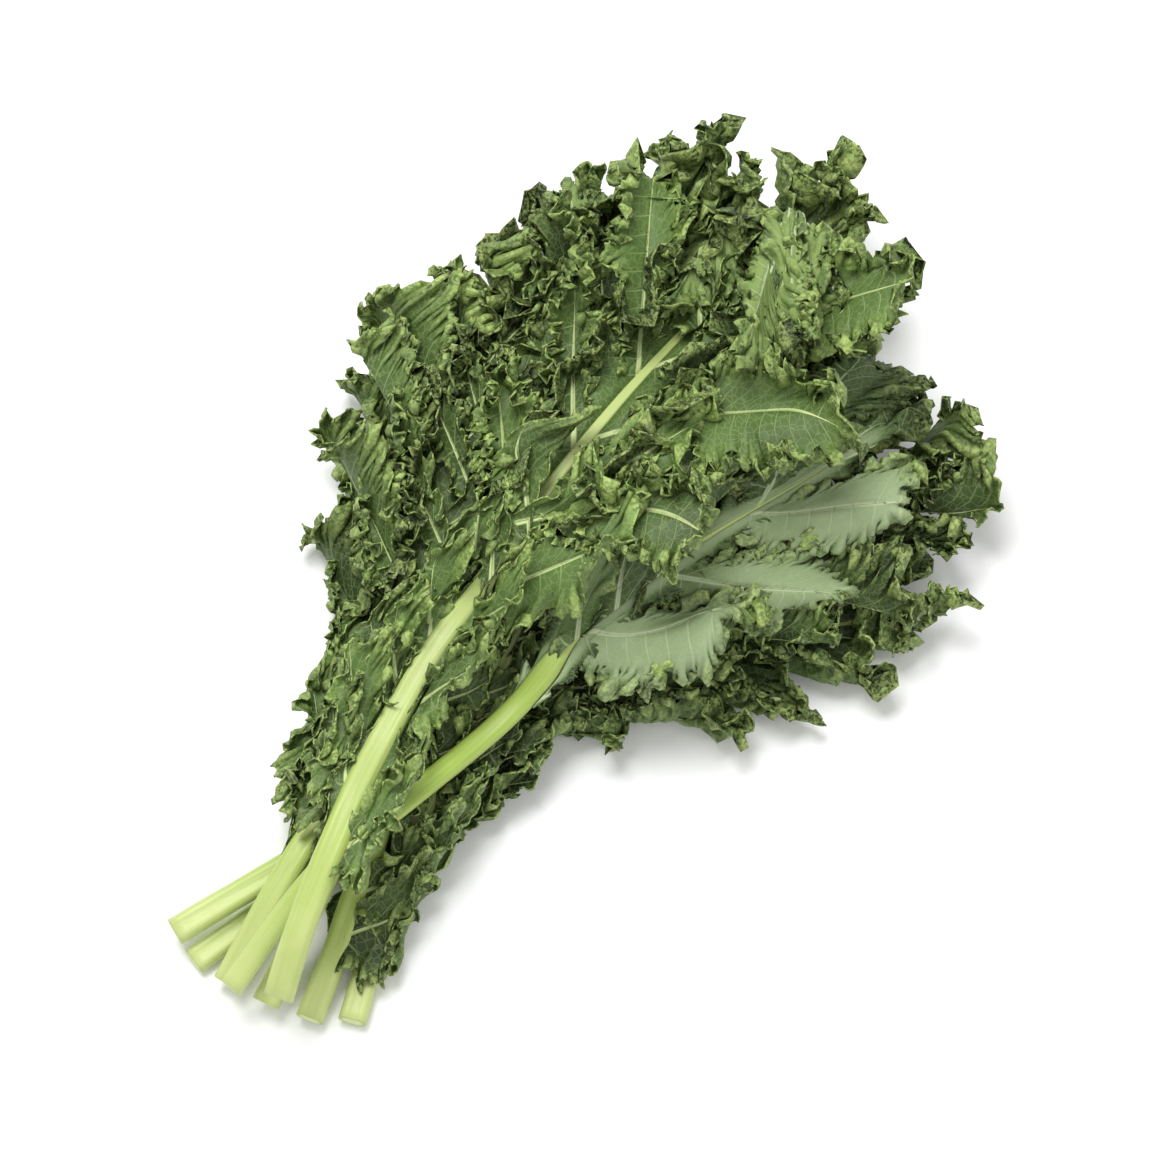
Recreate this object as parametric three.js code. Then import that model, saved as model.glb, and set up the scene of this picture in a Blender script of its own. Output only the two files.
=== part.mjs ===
// A bunch of curly kale lying on a table, in millimetres.
// +X runs from the cut stalk ends to the leaf tips, +Z is up, and the table is the plane z = 0.
// Each leaf has two bodies: a pale stalk, which narrows into the midrib, and a green blade slotted round it.
import * as THREE from "three";

const degrees = Math.PI / 180;

// Driving dimensions of a full-size leaf.
const stalkWidth = 12; // across the stalk where it is plain
const stalkDepth = 9.5;
const depthShare = stalkDepth / stalkWidth;
const stalkFlare = 1.22; // how much wider the cut end is
const flareShare = 0.09; // of the midrib's length over which the flare dies out
const midribTipWidth = 1.6;
const bladeThickness = 0.9;
const innerColumns = 26; // faces along each half of a blade close to the midrib
const outerColumns = 3 * innerColumns; // and along its margin
const slotGap = 0.5; // between a midrib and the blade on each side of it
const wingReach = 1.6; // the narrow wing between two leaflets on a stalk
const veinSweep = 46 * degrees; // how far the side veins lean towards the tip
const ovalEnds = 0.5; // the blade's reach at its foot and tip, as a share of its full reach
const lobeDepth = 0.2; // how deep the clefts between two lobes are, as a share of the reach
const scallop = 0.03; // how much each ripple lengthens and shortens the margin
const curlWander = 14 * degrees; // how much more or less a blade curls here and there
const tipCurl = 6 * degrees;
const fullRippleReach = 20; // a blade or leaflet that reaches this far ripples in full
const cutFlat = 0.3; // what comes this close to the table lies flat on it

// How the leaves are stacked.
const cellSize = 5; // of the square grid that the heap's height is kept on
const leafGap = 1.6; // left between one leaf and the next
const tablePress = 1.2; // how deep the lowest ruffles are pressed flat against the table
const drapeCells = 3; // a leaf takes this many cells to ride up over what is under it
const heapReach = [300, 200]; // half the grid's size along X and Y

// The leaves from the table up. midrib runs from the cut end to the end of the midrib. start is the share of
// its length where the first leaflet stands, and leafletShare how much of the rest carries leaflets only.
// roll turns a leaf about its midrib, positive with its left half up, from the stalk to the tip.
// cup is the blade's slope at the midrib and how much more it turns by the margin, towards its upper face.
const leaves = [
  {
    name: "right_low_leaf",
    midrib: [
      [-216, 43, 4], [-158, 22, 4], [-115, 6, 4], [-68, -9, 6],
      [-32, -33, 8], [-1, -60, 9], [27, -88, 9], [42, -106, 9],
    ],
    start: 0.36, leafletShare: 0.18, leaflets: 3, leafletReach: [5, 20], lobes: [5.5, 5.5], width: [70, 46],
    roll: [4, 8], cup: [4, 4], lobeLift: 5, ripple: 4.2, ripples: 12, tipTurn: 8, seed: 11,
  },
  {
    name: "right_leaf",
    midrib: [
      [-212, 54, 4], [-154, 26, 4], [-108, 6, 8], [-25, -22, 14],
      [42, -55, 16], [80, -81, 16], [92, -90, 16],
    ],
    start: 0.38, leafletShare: 0.14, leaflets: 2, leafletReach: [5, 22], lobes: [5.5, 5.5], width: [92, 88],
    roll: [4, 8], cup: [3, 4], lobeLift: 5, ripple: 4.6, ripples: 12, tipTurn: 12, seed: 23,
  },
  {
    name: "left_leaf",
    midrib: [
      [-217, 26, 5], [-163, 28, 16], [-126, 30, 15], [-84, 39, 11],
      [-42, 54, 10], [-2, 74, 9], [30, 90, 9],
    ],
    start: 0.2, leafletShare: 0.34, leaflets: 2, leafletReach: [36, 5], lobes: [4.5, 4.5], width: [64, 84],
    roll: [-4, -10], cup: [4, 8], lobeLift: 5, ripple: 4.6, ripples: 12, tipTurn: 12, seed: 31,
  },
  {
    name: "far_right_leaf",
    midrib: [
      [-204, -22, 5], [-158, -8, 4], [-111, 0, 16], [-45, 4, 22],
      [33, 2, 28], [102, 1, 30], [146, 1, 30],
    ],
    start: 0.13, leafletShare: 0.42, leaflets: 4, leafletReach: [4, 28], lobes: [5.5, 5.5], width: [88, 92],
    roll: [0, 2], cup: [3, 6], lobeLift: 5, ripple: 4.6, ripples: 12, tipTurn: 16, seed: 41,
  },
  {
    name: "far_leaf",
    midrib: [
      [-212, -8, 4], [-158, 3, 4], [-116, 12, 16], [-56, 18, 26],
      [14, 24, 34], [77, 32, 38], [128, 40, 38],
    ],
    start: 0.42, leafletShare: 0.12, leaflets: 2, leafletReach: [5, 8], lobes: [5.5, 5.5], width: [88, 88],
    roll: [0, -4], cup: [3, 6], lobeLift: 5, ripple: 4.6, ripples: 12, tipTurn: 16, seed: 53,
  },
  {
    name: "left_top_leaf",
    midrib: [
      [-216, 9, 8], [-162, 14, 17], [-122, 22, 22], [-74, 33, 30],
      [-24, 46, 40], [25, 62, 46], [64, 75, 46],
    ],
    start: 0.38, leafletShare: 0.18, leaflets: 2, leafletReach: [24, 6], lobes: [5.5, 4.5], width: [84, 80],
    roll: [-4, -8], cup: [4, 8], lobeLift: 5.5, ripple: 5, ripples: 12, tipTurn: 10, seed: 61,
  },
  {
    name: "turned_leaf",
    midrib: [
      [-221, 21, 18], [-162, 12, 26], [-132, 2, 30], [-79, -11, 38],
      [-35, -22, 48], [24, -45, 54], [76, -67, 54],
    ],
    start: 0.5, leafletShare: 0.06, leaflets: 1, leafletReach: [5, 14], lobes: [3.5, 3.5], width: [64, 84],
    roll: [176, 190], cup: [4, 16], lobeLift: 6, ripple: 4.6, ripples: 10, tipTurn: 8, seed: 71,
  },
  {
    name: "top_leaf",
    midrib: [
      [-217, 1, 22], [-164, 11, 36], [-113, 20, 42], [-70, 22, 50], [-32, 17, 60],
      [27, 12, 68], [88, 8, 72], [130, 2, 72], [170, -6, 72],
    ],
    start: 0.13, leafletShare: 0.37, leaflets: 2, leafletReach: [15, 26], lobes: [5.5, 5.5], width: [96, 98],
    roll: [0, 0], cup: [8, -2], lobeLift: 6.5, ripple: 5.4, ripples: 13, tipTurn: 0, seed: 83,
    midribColumns: 22, fold: { along: 0.88, skew: 20, turn: 158, radius: 8 },
  },
];

const mix = (a, b, share) => a + (b - a) * share;

function smooth(from, to, value) {
  const x = Math.min(1, Math.max(0, (value - from) / (to - from)));
  return x * x * (3 - 2 * x);
}

// A fixed draw from 0 to 1 for each leaf's seed and each use of it.
function draw(seed, use) {
  const x = Math.sin(seed * 12.9898 + use * 78.233) * 437.585;
  return x - Math.floor(x);
}

// A slow irregular wave along the margin, from about -1 to 1, which is the sum of three sines.
function wander(seed, use, margin, rate) {
  let sum = 0;
  for (let k = 0; k < 3; k++) {
    const turns = rate * (1 + 0.73 * k) * margin + draw(seed, use + k);
    sum += Math.sin(2 * Math.PI * turns) / (1 + 0.6 * k);
  }
  return sum / 1.6;
}

// The frame carried along a leaf: stations with a place, the way ahead, the way to the left half and the
// upper face's normal. Near the tip the midrib turns towards its upper face by tipTurn degrees.
const stationCount = 240;
const tipTurnStart = 0.86;

function carryFrame(leaf) {
  const midrib = leaf.midrib.map((p) => new THREE.Vector3(...p));
  const curve = new THREE.CatmullRomCurve3(midrib, false, "catmullrom", 0.5);
  curve.arcLengthDivisions = 600;
  const step = curve.getLength() / stationCount;
  const stations = [];
  const place = new THREE.Vector3();
  for (let i = 0; i <= stationCount; i++) {
    const share = i / stationCount;
    const along = (share - leaf.start) / (1 - leaf.start);
    const ahead = curve.getTangentAt(share);
    const left = new THREE.Vector3(0, 0, 1).cross(ahead).normalize();
    const up = ahead.clone().cross(left);
    const roll = mix(leaf.roll[0], leaf.roll[1], smooth(0, 1, along)) * degrees;
    const rolledLeft = left.clone().multiplyScalar(Math.cos(roll)).addScaledVector(up, Math.sin(roll));
    const rolledUp = up.clone().multiplyScalar(Math.cos(roll)).addScaledVector(left, -Math.sin(roll));
    const bend = Math.max(0, (along - tipTurnStart) / (1 - tipTurnStart));
    const turn = leaf.tipTurn * degrees * bend;
    const turned = ahead.clone().multiplyScalar(Math.cos(turn)).addScaledVector(rolledUp, Math.sin(turn));
    const normal = rolledUp.clone().multiplyScalar(Math.cos(turn)).addScaledVector(ahead, -Math.sin(turn));
    if (along <= tipTurnStart) place.copy(curve.getPointAt(share));
    else place.addScaledVector(turned, step);
    stations.push({ place: place.clone(), ahead: turned, left: rolledLeft, up: normal });
  }
  return { stations, fold: leaf.fold ? foldLine(leaf, stations) : null };
}

// Where a tip is folded back over its own upper face: the line it bends about, turned in the blade's plane by
// skew degrees from square to the midrib.
function foldLine(leaf, stations) {
  const share = leaf.start + (1 - leaf.start) * leaf.fold.along;
  const { place, ahead, left, up } = stations[Math.round(share * stationCount)];
  const skew = leaf.fold.skew * degrees;
  const across = ahead.clone().multiplyScalar(Math.cos(skew)).addScaledVector(left, Math.sin(skew));
  return { place, across, up, radius: leaf.fold.radius, turn: leaf.fold.turn * degrees };
}

// What lies beyond the fold line is wrapped round a cylinder and then runs straight on.
function foldBack(fold, point) {
  if (!fold) return point;
  const offset = point.clone().sub(fold.place);
  const beyond = offset.dot(fold.across);
  if (beyond <= 0) return point;
  const high = offset.dot(fold.up);
  const angle = Math.min(beyond / fold.radius, fold.turn);
  const rest = beyond - angle * fold.radius;
  const newBeyond = (fold.radius - high) * Math.sin(angle) + rest * Math.cos(angle);
  const newHigh = fold.radius - (fold.radius - high) * Math.cos(angle) + rest * Math.sin(angle);
  return point.addScaledVector(fold.across, newBeyond - beyond).addScaledVector(fold.up, newHigh - high);
}

// The frame at a share of the whole length, between the two nearest stations.
function frameAt(frame, share) {
  const x = Math.min(stationCount - 1e-9, Math.max(0, share * stationCount));
  const a = frame.stations[Math.floor(x)];
  const b = frame.stations[Math.floor(x) + 1];
  const blend = (key) => a[key].clone().lerp(b[key], x - Math.floor(x));
  return { place: blend("place"), ahead: blend("ahead"), left: blend("left"), up: blend("up") };
}

// The last inner column whose faces leave room for the midrib, and the share of the blade at which it ends.
const lastMidribColumn = (leaf) => leaf.midribColumns ?? innerColumns - 1;
const midribEnd = (leaf) => (lastMidribColumn(leaf) + 0.1) / innerColumns;

// Half the stalk's width at a place along the blade: plain below it, then narrowing to the midrib's tip.
function halfStalk(leaf, along) {
  const narrowing = Math.pow(Math.min(1, Math.max(0, 1 - along / midribEnd(leaf))), 0.8);
  const width = mix(midribTipWidth, stalkWidth, Math.min(1, narrowing * 1.05));
  return width / 2;
}

// How far the blade reaches from the midrib along a side vein: leaflets low down, then a lobed oval.
function reach(leaf, side, along) {
  const half = side > 0 ? 0 : 1;
  if (along < leaf.leafletShare) {
    const low = along / leaf.leafletShare;
    const leaflet = Math.sin(Math.PI * leaf.leaflets * low) ** 2;
    return mix(wingReach, leaf.leafletReach[half] * (0.6 + 0.4 * low), leaflet);
  }
  const high = (along - leaf.leafletShare) / (1 - leaf.leafletShare);
  const meanWidth = (leaf.width[0] + leaf.width[1]) / 2;
  const width = mix(leaf.width[half], meanWidth, Math.pow(high, 4));
  const oval = mix(ovalEnds, 1, Math.sin(Math.PI * Math.pow(high, 0.85)));
  const lobe = 1 - lobeDepth * Math.cos(Math.PI * leaf.lobes[half] * high) ** 2;
  return mix(wingReach, width * oval * lobe, smooth(0, 0.09, high));
}

// One point of a blade's middle surface. side is 1 for the left half and -1 for the right, along runs from
// the first leaflet to the tip, and out from the midrib to the margin. A side vein leaves the midrib leaning
// forward, its slope turns evenly from the midrib to the margin, and lobes and ripples lift it off that arc.
function bladePoint(leaf, frame, side, along, out) {
  const half = side > 0 ? 0 : 1;
  const { place, ahead, left, up } = frameAt(frame, leaf.start + (1 - leaf.start) * along);
  const margin = side > 0 ? along : 2 - along;
  const tip = Math.pow(along, 3);
  const sweep = mix(veinSweep, Math.PI / 2, tip);
  const outward = left.clone().multiplyScalar(side * Math.cos(sweep)).addScaledVector(ahead, Math.sin(sweep));
  const closing = Math.min(1, Math.max(0, along * innerColumns - lastMidribColumn(leaf)));
  const slot = (halfStalk(leaf, along) + slotGap) * (1 - closing);
  const slope = mix(leaf.cup[0], 0, tip) * degrees;
  const curl = leaf.cup[1] * degrees + curlWander * wander(leaf.seed, 20, margin, 1.7);
  const turn = mix(curl, tipCurl, tip) + 1e-6;
  const phase = 2 * Math.PI * leaf.ripples * margin + 1.5 * wander(leaf.seed, 40, margin, 3.1);
  const length = reach(leaf, side, along) * (1 + scallop * out ** 3 * Math.sin(phase + 1));
  const flat = (length * (Math.sin(slope + turn * out) - Math.sin(slope))) / turn;
  const raised = (length * (Math.cos(slope) - Math.cos(slope + turn * out))) / turn;
  const angle = slope + turn * out;
  const normal = up.clone().multiplyScalar(Math.cos(angle)).addScaledVector(outward, -Math.sin(angle));
  const high = (along - leaf.leafletShare) / (1 - leaf.leafletShare);
  const inBlade = smooth(0, 0.12, high);
  const lobeWave = Math.cos(2 * Math.PI * leaf.lobes[half] * Math.max(0, high)) * mix(0.2, 1, inBlade);
  const size = leaf.ripple * (0.75 + 0.25 * wander(leaf.seed, 60, margin, 4.3));
  const ripple = size * Math.sin(phase) * Math.min(1, length / fullRippleReach);
  const rise = leaf.lobeLift * out ** 2 * lobeWave + ripple * out ** 2.5;
  place
    .addScaledVector(left, side * slot)
    .addScaledVector(outward, flat)
    .addScaledVector(up, raised)
    .addScaledVector(normal, rise);
  return foldBack(frame.fold, place);
}

// The heap's height over the table on a square grid, and what each new leaf needs to ride over it.
const cells = heapReach.map((half) => Math.ceil((2 * half) / cellSize));

function cellOf(x, y) {
  const i = Math.floor((x + heapReach[0]) / cellSize);
  const j = Math.floor((y + heapReach[1]) / cellSize);
  return i * cells[1] + j;
}

// A copy of a grid in which each cell takes the largest, or the mean, of those within reach along one axis.
function spread(grid, reachCells, axis, combine) {
  const made = new Float64Array(grid.length);
  for (let i = 0; i < cells[0]; i++) {
    for (let j = 0; j < cells[1]; j++) {
      const near = [];
      for (let k = -reachCells; k <= reachCells; k++) {
        const a = Math.min(cells[0] - 1, Math.max(0, i + (axis === 0 ? k : 0)));
        const b = Math.min(cells[1] - 1, Math.max(0, j + (axis === 1 ? k : 0)));
        near.push(grid[a * cells[1] + b]);
      }
      made[i * cells[1] + j] = combine(near);
    }
  }
  return made;
}

const largest = (values) => Math.max(...values);
const average = (values) => values.reduce((a, b) => a + b) / values.length;
const widest = (grid, reachCells) => spread(spread(grid, reachCells, 0, largest), reachCells, 1, largest);
const blurred = (grid, reachCells) => spread(spread(grid, reachCells, 0, average), reachCells, 1, average);

// Points spread over a leaf's blade, each with how far it reaches above and below, and along its stalk, each
// with the stalk's half width.
const samples = { along: 100, out: 12, stalk: 160 };

function bladePoints(leaf, frame) {
  const points = [];
  for (const side of [1, -1]) {
    for (let i = 0; i <= samples.along; i++) {
      for (let j = 0; j <= samples.out; j++) {
        const p = bladePoint(leaf, frame, side, i / samples.along, j / samples.out);
        points.push([p.x, p.y, p.z, bladeThickness / 2]);
      }
    }
  }
  return points;
}

function stalkPoints(leaf, frame) {
  const points = [];
  for (let i = 0; i <= samples.stalk; i++) {
    const share = (i / samples.stalk) * (leaf.start + (1 - leaf.start) * midribEnd(leaf));
    const along = (share - leaf.start) / (1 - leaf.start);
    const place = foldBack(frame.fold, frameAt(frame, share).place);
    points.push([place.x, place.y, place.z, halfStalk(leaf, along)]);
  }
  return points;
}

// How far a leaf is lifted over each cell so that it clears the heap: what it needs, widened and then
// smoothed over the same distance, so that no cell gets less than its need. Stalks nest as round rods do.
function liftOver(heap, blade, stalk) {
  const need = new Float64Array(heap.blades.length);
  const raise = (x, y, rise) => {
    const cell = cellOf(x, y);
    need[cell] = Math.max(need[cell], rise);
  };
  const bladeTops = widest(heap.blades, 1);
  const allTops = widest(heap.all, 1);
  for (const [x, y, z, thick] of blade) raise(x, y, allTops[cellOf(x, y)] + leafGap - (z - thick));
  for (const [x, y, z, half] of stalk) {
    raise(x, y, bladeTops[cellOf(x, y)] + leafGap - (z - half * depthShare));
    for (const [lowX, lowY, lowZ, lowHalf] of heap.stalks) {
      const contact = half + lowHalf + leafGap;
      const apart = Math.hypot(x - lowX, y - lowY);
      if (apart < contact) raise(x, y, lowZ + depthShare * Math.sqrt(contact ** 2 - apart ** 2) - z);
    }
  }
  const half = Math.ceil(drapeCells / 2);
  return blurred(blurred(widest(need, drapeCells), half), drapeCells - half);
}

// A grid's value at a place, from the four cells round it.
function valueAt(grid, x, y) {
  const u = (x + heapReach[0]) / cellSize - 0.5;
  const v = (y + heapReach[1]) / cellSize - 0.5;
  const i = Math.floor(u);
  const j = Math.floor(v);
  const at = (a, b) => grid[a * cells[1] + b];
  return mix(mix(at(i, j), at(i + 1, j), u - i), mix(at(i, j + 1), at(i + 1, j + 1), u - i), v - j);
}

// A closed sheet from an open surface: each face twice, alike on both sides, and a wall round the edge.
function thicken(points, triangles, thickness) {
  const normals = points.map(() => new THREE.Vector3());
  const edges = new Map();
  for (const [a, b, c] of triangles) {
    const ab = points[b].clone().sub(points[a]);
    const ac = points[c].clone().sub(points[a]);
    const normal = ab.cross(ac);
    for (const v of [a, b, c]) normals[v].add(normal);
    for (const [from, to] of [[a, b], [b, c], [c, a]]) {
      if (edges.has(`${to},${from}`)) edges.delete(`${to},${from}`);
      else edges.set(`${from},${to}`, [from, to]);
    }
  }
  normals.forEach((normal) => normal.normalize());
  const count = points.length;
  const upper = points.map((p, i) => p.clone().addScaledVector(normals[i], thickness / 2));
  const lower = points.map((p, i) => p.clone().addScaledVector(normals[i], -thickness / 2));
  const faces = [];
  for (const [a, b, c] of triangles) {
    faces.push([a, b, c], [a + count, c + count, b + count]);
  }
  for (const [from, to] of edges.values()) {
    faces.push([to, from, from + count], [to, from + count, to + count]);
  }
  return meshGeometry([...upper, ...lower], faces);
}

// A geometry from points and faces. What comes close to the table is laid flat on it.
function meshGeometry(points, faces) {
  const flat = points.map((p) => [p.x, p.y, p.z < cutFlat ? 0 : p.z]).flat();
  const geometry = new THREE.BufferGeometry();
  geometry.setAttribute("position", new THREE.Float32BufferAttribute(flat, 3));
  geometry.setIndex(faces.flat());
  geometry.computeVertexNormals();
  return geometry;
}

// A leaf's blade: two halves that share the line ahead of the midrib's end. Close to the midrib there is one
// face for every three along the margin.
const rows = [0, 0.45, 0.76, 1];

function bladeGeometry(leaf, frame, lift) {
  const points = [];
  const triangles = [];
  const known = new Map();
  const vertex = (side, column, row) => {
    const ahead = row === 0 && column > 3 * lastMidribColumn(leaf);
    const shared = ahead || column === outerColumns ? 1 : side;
    const key = `${shared},${column},${row}`;
    if (!known.has(key)) {
      const p = bladePoint(leaf, frame, side, column / outerColumns, rows[row]);
      p.z = Math.max(bladeThickness / 2, p.z + valueAt(lift, p.x, p.y));
      known.set(key, points.push(p) - 1);
    }
    return known.get(key);
  };
  for (const side of [1, -1]) {
    const add = (a, b, c) => triangles.push(side > 0 ? [a, b, c] : [a, c, b]);
    for (let column = 0; column < outerColumns; column += 3) {
      const near = [vertex(side, column, 0), vertex(side, column + 3, 0)];
      const next = [vertex(side, column, 1), vertex(side, column + 3, 1)];
      const far = [0, 1, 2, 3].map((k) => vertex(side, column + k, 2));
      const edge = [0, 1, 2, 3].map((k) => vertex(side, column + k, 3));
      add(near[0], near[1], next[1]);
      add(near[0], next[1], next[0]);
      add(next[0], far[1], far[0]);
      add(next[0], next[1], far[1]);
      add(next[1], far[2], far[1]);
      add(next[1], far[3], far[2]);
      for (let k = 0; k < 3; k++) {
        add(far[k], far[k + 1], edge[k + 1]);
        add(far[k], edge[k + 1], edge[k]);
      }
    }
  }
  return thicken(points, triangles, bladeThickness);
}

// A stalk: a ring of points carried along the midrib, grooved on top, flared at the cut, closed at its ends.
const stalkSection = [[1, 0], [0.72, 0.8], [0, 0.55], [-0.72, 0.8], [-1, 0], [-0.6, -0.85], [0.6, -0.85]];
const stalkRings = 18;

function stalkGeometry(leaf, frame, lift) {
  const points = [];
  const faces = [];
  const sides = stalkSection.length;
  const end = leaf.start + (1 - leaf.start) * midribEnd(leaf);
  for (let ring = 0; ring <= stalkRings; ring++) {
    const share = (ring / stalkRings) * end;
    const { place, left, up } = frameAt(frame, share);
    const half = halfStalk(leaf, (share - leaf.start) / (1 - leaf.start));
    const flare = mix(stalkFlare, 1, smooth(0, flareShare, share));
    for (const [across, high] of stalkSection) {
      const p = place.clone()
        .addScaledVector(left, -across * half * flare)
        .addScaledVector(up, high * half * flare * depthShare);
      foldBack(frame.fold, p);
      p.z = Math.max(0, p.z + valueAt(lift, p.x, p.y));
      points.push(p);
    }
  }
  for (let ring = 0; ring < stalkRings; ring++) {
    for (let k = 0; k < sides; k++) {
      const a = ring * sides + k;
      const b = ring * sides + ((k + 1) % sides);
      faces.push([a, a + sides, b + sides], [a, b + sides, b]);
    }
  }
  for (const [first, turn] of [[0, 1], [stalkRings * sides, -1]]) {
    const middle = new THREE.Vector3();
    for (let k = 0; k < sides; k++) middle.addScaledVector(points[first + k], 1 / sides);
    const centre = points.push(middle) - 1;
    for (let k = 0; k < sides; k++) {
      const pair = [first + k, first + ((k + 1) % sides)];
      faces.push(turn > 0 ? [centre, pair[0], pair[1]] : [centre, pair[1], pair[0]]);
    }
  }
  return meshGeometry(points, faces);
}

const stalkMaterial = new THREE.MeshStandardMaterial({ color: 0xbfd27c, roughness: 0.45, metalness: 0 });
const bladeMaterial = new THREE.MeshStandardMaterial({ color: 0x4c6b32, roughness: 0.55, metalness: 0 });

const bunch = new THREE.Group();
const ground = () => new Float64Array(cells[0] * cells[1]).fill(-leafGap - tablePress);
const heap = { all: ground(), blades: ground(), stalks: [] };
for (const leaf of leaves) {
  const frame = carryFrame(leaf);
  const blade = bladePoints(leaf, frame);
  const stalk = stalkPoints(leaf, frame);
  const lift = liftOver(heap, blade, stalk);
  const raiseHeap = (grid, x, y, top) => {
    const cell = cellOf(x, y);
    grid[cell] = Math.max(grid[cell], top);
  };
  for (const [x, y, z, thick] of blade) {
    const top = z + valueAt(lift, x, y) + thick;
    raiseHeap(heap.all, x, y, top);
    raiseHeap(heap.blades, x, y, top);
  }
  for (const [x, y, z, half] of stalk) {
    const lifted = z + valueAt(lift, x, y);
    raiseHeap(heap.all, x, y, lifted + half * depthShare);
    heap.stalks.push([x, y, lifted, half]);
  }
  for (const [part, geometry, material] of [
    ["stalk", stalkGeometry(leaf, frame, lift), stalkMaterial],
    ["blade", bladeGeometry(leaf, frame, lift), bladeMaterial],
  ]) {
    const mesh = new THREE.Mesh(geometry, material);
    mesh.name = `${leaf.name}_${part}`;
    bunch.add(mesh);
  }
}

// The origin is under the middle of the bunch, on the table.
const box = new THREE.Box3().setFromObject(bunch);
const middle = box.getCenter(new THREE.Vector3());
bunch.position.set(-middle.x, -middle.y, -box.min.z);

export default bunch;
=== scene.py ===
import math
import time
import bpy
import numpy as np
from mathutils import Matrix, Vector


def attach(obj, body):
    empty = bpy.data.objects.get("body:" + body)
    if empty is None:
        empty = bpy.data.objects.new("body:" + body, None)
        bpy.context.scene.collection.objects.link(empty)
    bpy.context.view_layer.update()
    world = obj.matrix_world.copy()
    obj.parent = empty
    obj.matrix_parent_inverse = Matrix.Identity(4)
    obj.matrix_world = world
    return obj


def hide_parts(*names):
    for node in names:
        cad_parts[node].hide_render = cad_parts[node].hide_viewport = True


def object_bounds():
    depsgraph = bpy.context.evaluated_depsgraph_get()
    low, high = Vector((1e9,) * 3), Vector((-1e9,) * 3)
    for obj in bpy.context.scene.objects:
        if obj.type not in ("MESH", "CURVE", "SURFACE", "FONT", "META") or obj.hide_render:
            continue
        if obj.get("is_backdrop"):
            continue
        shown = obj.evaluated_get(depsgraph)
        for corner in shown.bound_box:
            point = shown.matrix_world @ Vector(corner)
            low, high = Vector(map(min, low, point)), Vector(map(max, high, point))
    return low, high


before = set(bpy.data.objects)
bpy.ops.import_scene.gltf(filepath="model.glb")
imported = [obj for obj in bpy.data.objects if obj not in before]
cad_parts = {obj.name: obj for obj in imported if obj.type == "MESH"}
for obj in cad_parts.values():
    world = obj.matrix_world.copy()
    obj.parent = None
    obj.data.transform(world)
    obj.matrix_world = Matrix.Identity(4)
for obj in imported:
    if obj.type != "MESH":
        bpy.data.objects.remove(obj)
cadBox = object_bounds()
began = time.time()


def say(text):
    print(f"[kale {time.time() - began:6.1f} s] {text}", flush=True)


# Form shared with the CAD model, in millimetres

degrees = math.pi / 180
form = {
    "stalkWidth": 12.0,
    "depthShare": 9.5 / 12.0,
    "flareShare": 0.09,  # of the midrib's length over which the flare dies out
    "midribTipWidth": 1.6,
    "bladeThickness": 0.9,
    "innerColumns": 26,
    "slotGap": 0.5,
    "wingReach": 1.6,
    "veinSweep": 46 * degrees,
    "ovalEnds": 0.5,
    "lobeDepth": 0.2,
    "scallop": 0.03,
    "curlWander": 14 * degrees,
    "tipCurl": 6 * degrees,
    "fullRippleReach": 20.0,
    "tipTurnStart": 0.86,
    "stationCount": 240,
    "cellSize": 5.0,
    "leafGap": 1.6,
    "tablePress": 1.2,
    "drapeCells": 3,
    "heapReach": (300.0, 200.0),
    "samples": (100, 12, 160),  # along, out and on the stalk
    "toOrigin": (15.6845, 5.1914, 0.0),  # from the leaves' own axes to the middle of the bunch
}

# What a leaf has unless its own lines say otherwise. Where no note says more, a pair is for its left and its
# right half.
usualLeaf = {
    "lobes": (5.5, 5.5),
    "lobeLift": 5,
    "ripple": 4.6,
    "ripples": 12,
    "midribColumns": form["innerColumns"] - 1,
    "lobed": False,  # True where its lobes are sheets of their own
    "lobeColumns": (0, 0),
    "lobeStretch": (1, 1),  # how much longer its lobes are than the CAD model's
    "lobeTaper": (0, 0),  # how much more so near the stalk, and less so at the tip
    "lobeWide": 1,
    "lobeLean": (0.03, 0.03),  # how far they lean ahead
    "lobeFace": 1,  # -1 where they lie on the under face
    "crossing": 0,  # how far in millimetres they lie over the midrib
    "wider": (1, 1),  # of the reach of the blade's own sheet
    "coreShare": 0.5,  # of that reach under its lobes
    "curlShare": 1,
    "ribShare": 0.68,  # of the CAD model's midrib, within the blade
    "slims": (0, 0.3),  # between these shares of the blade it narrows to that
    "stalkShare": 0.86,  # of the CAD model's stalk
    "swollen": 0,  # how much thicker the stalk is just above the blade's start
    "veinShare": 1,
    "bloom": 0.35,  # how greyish its under face is
    "halfPaintedShadeAndTone": (0, 0),  # added to the leaf's darkness from 0 to 1, which is mostly painted shade
    "leafletRow": {"count": (0, 0)},  # leaflets along the stalk, with their length in mm
    "patches": (),  # single leaflets, wide as a share of mm
}
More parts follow.
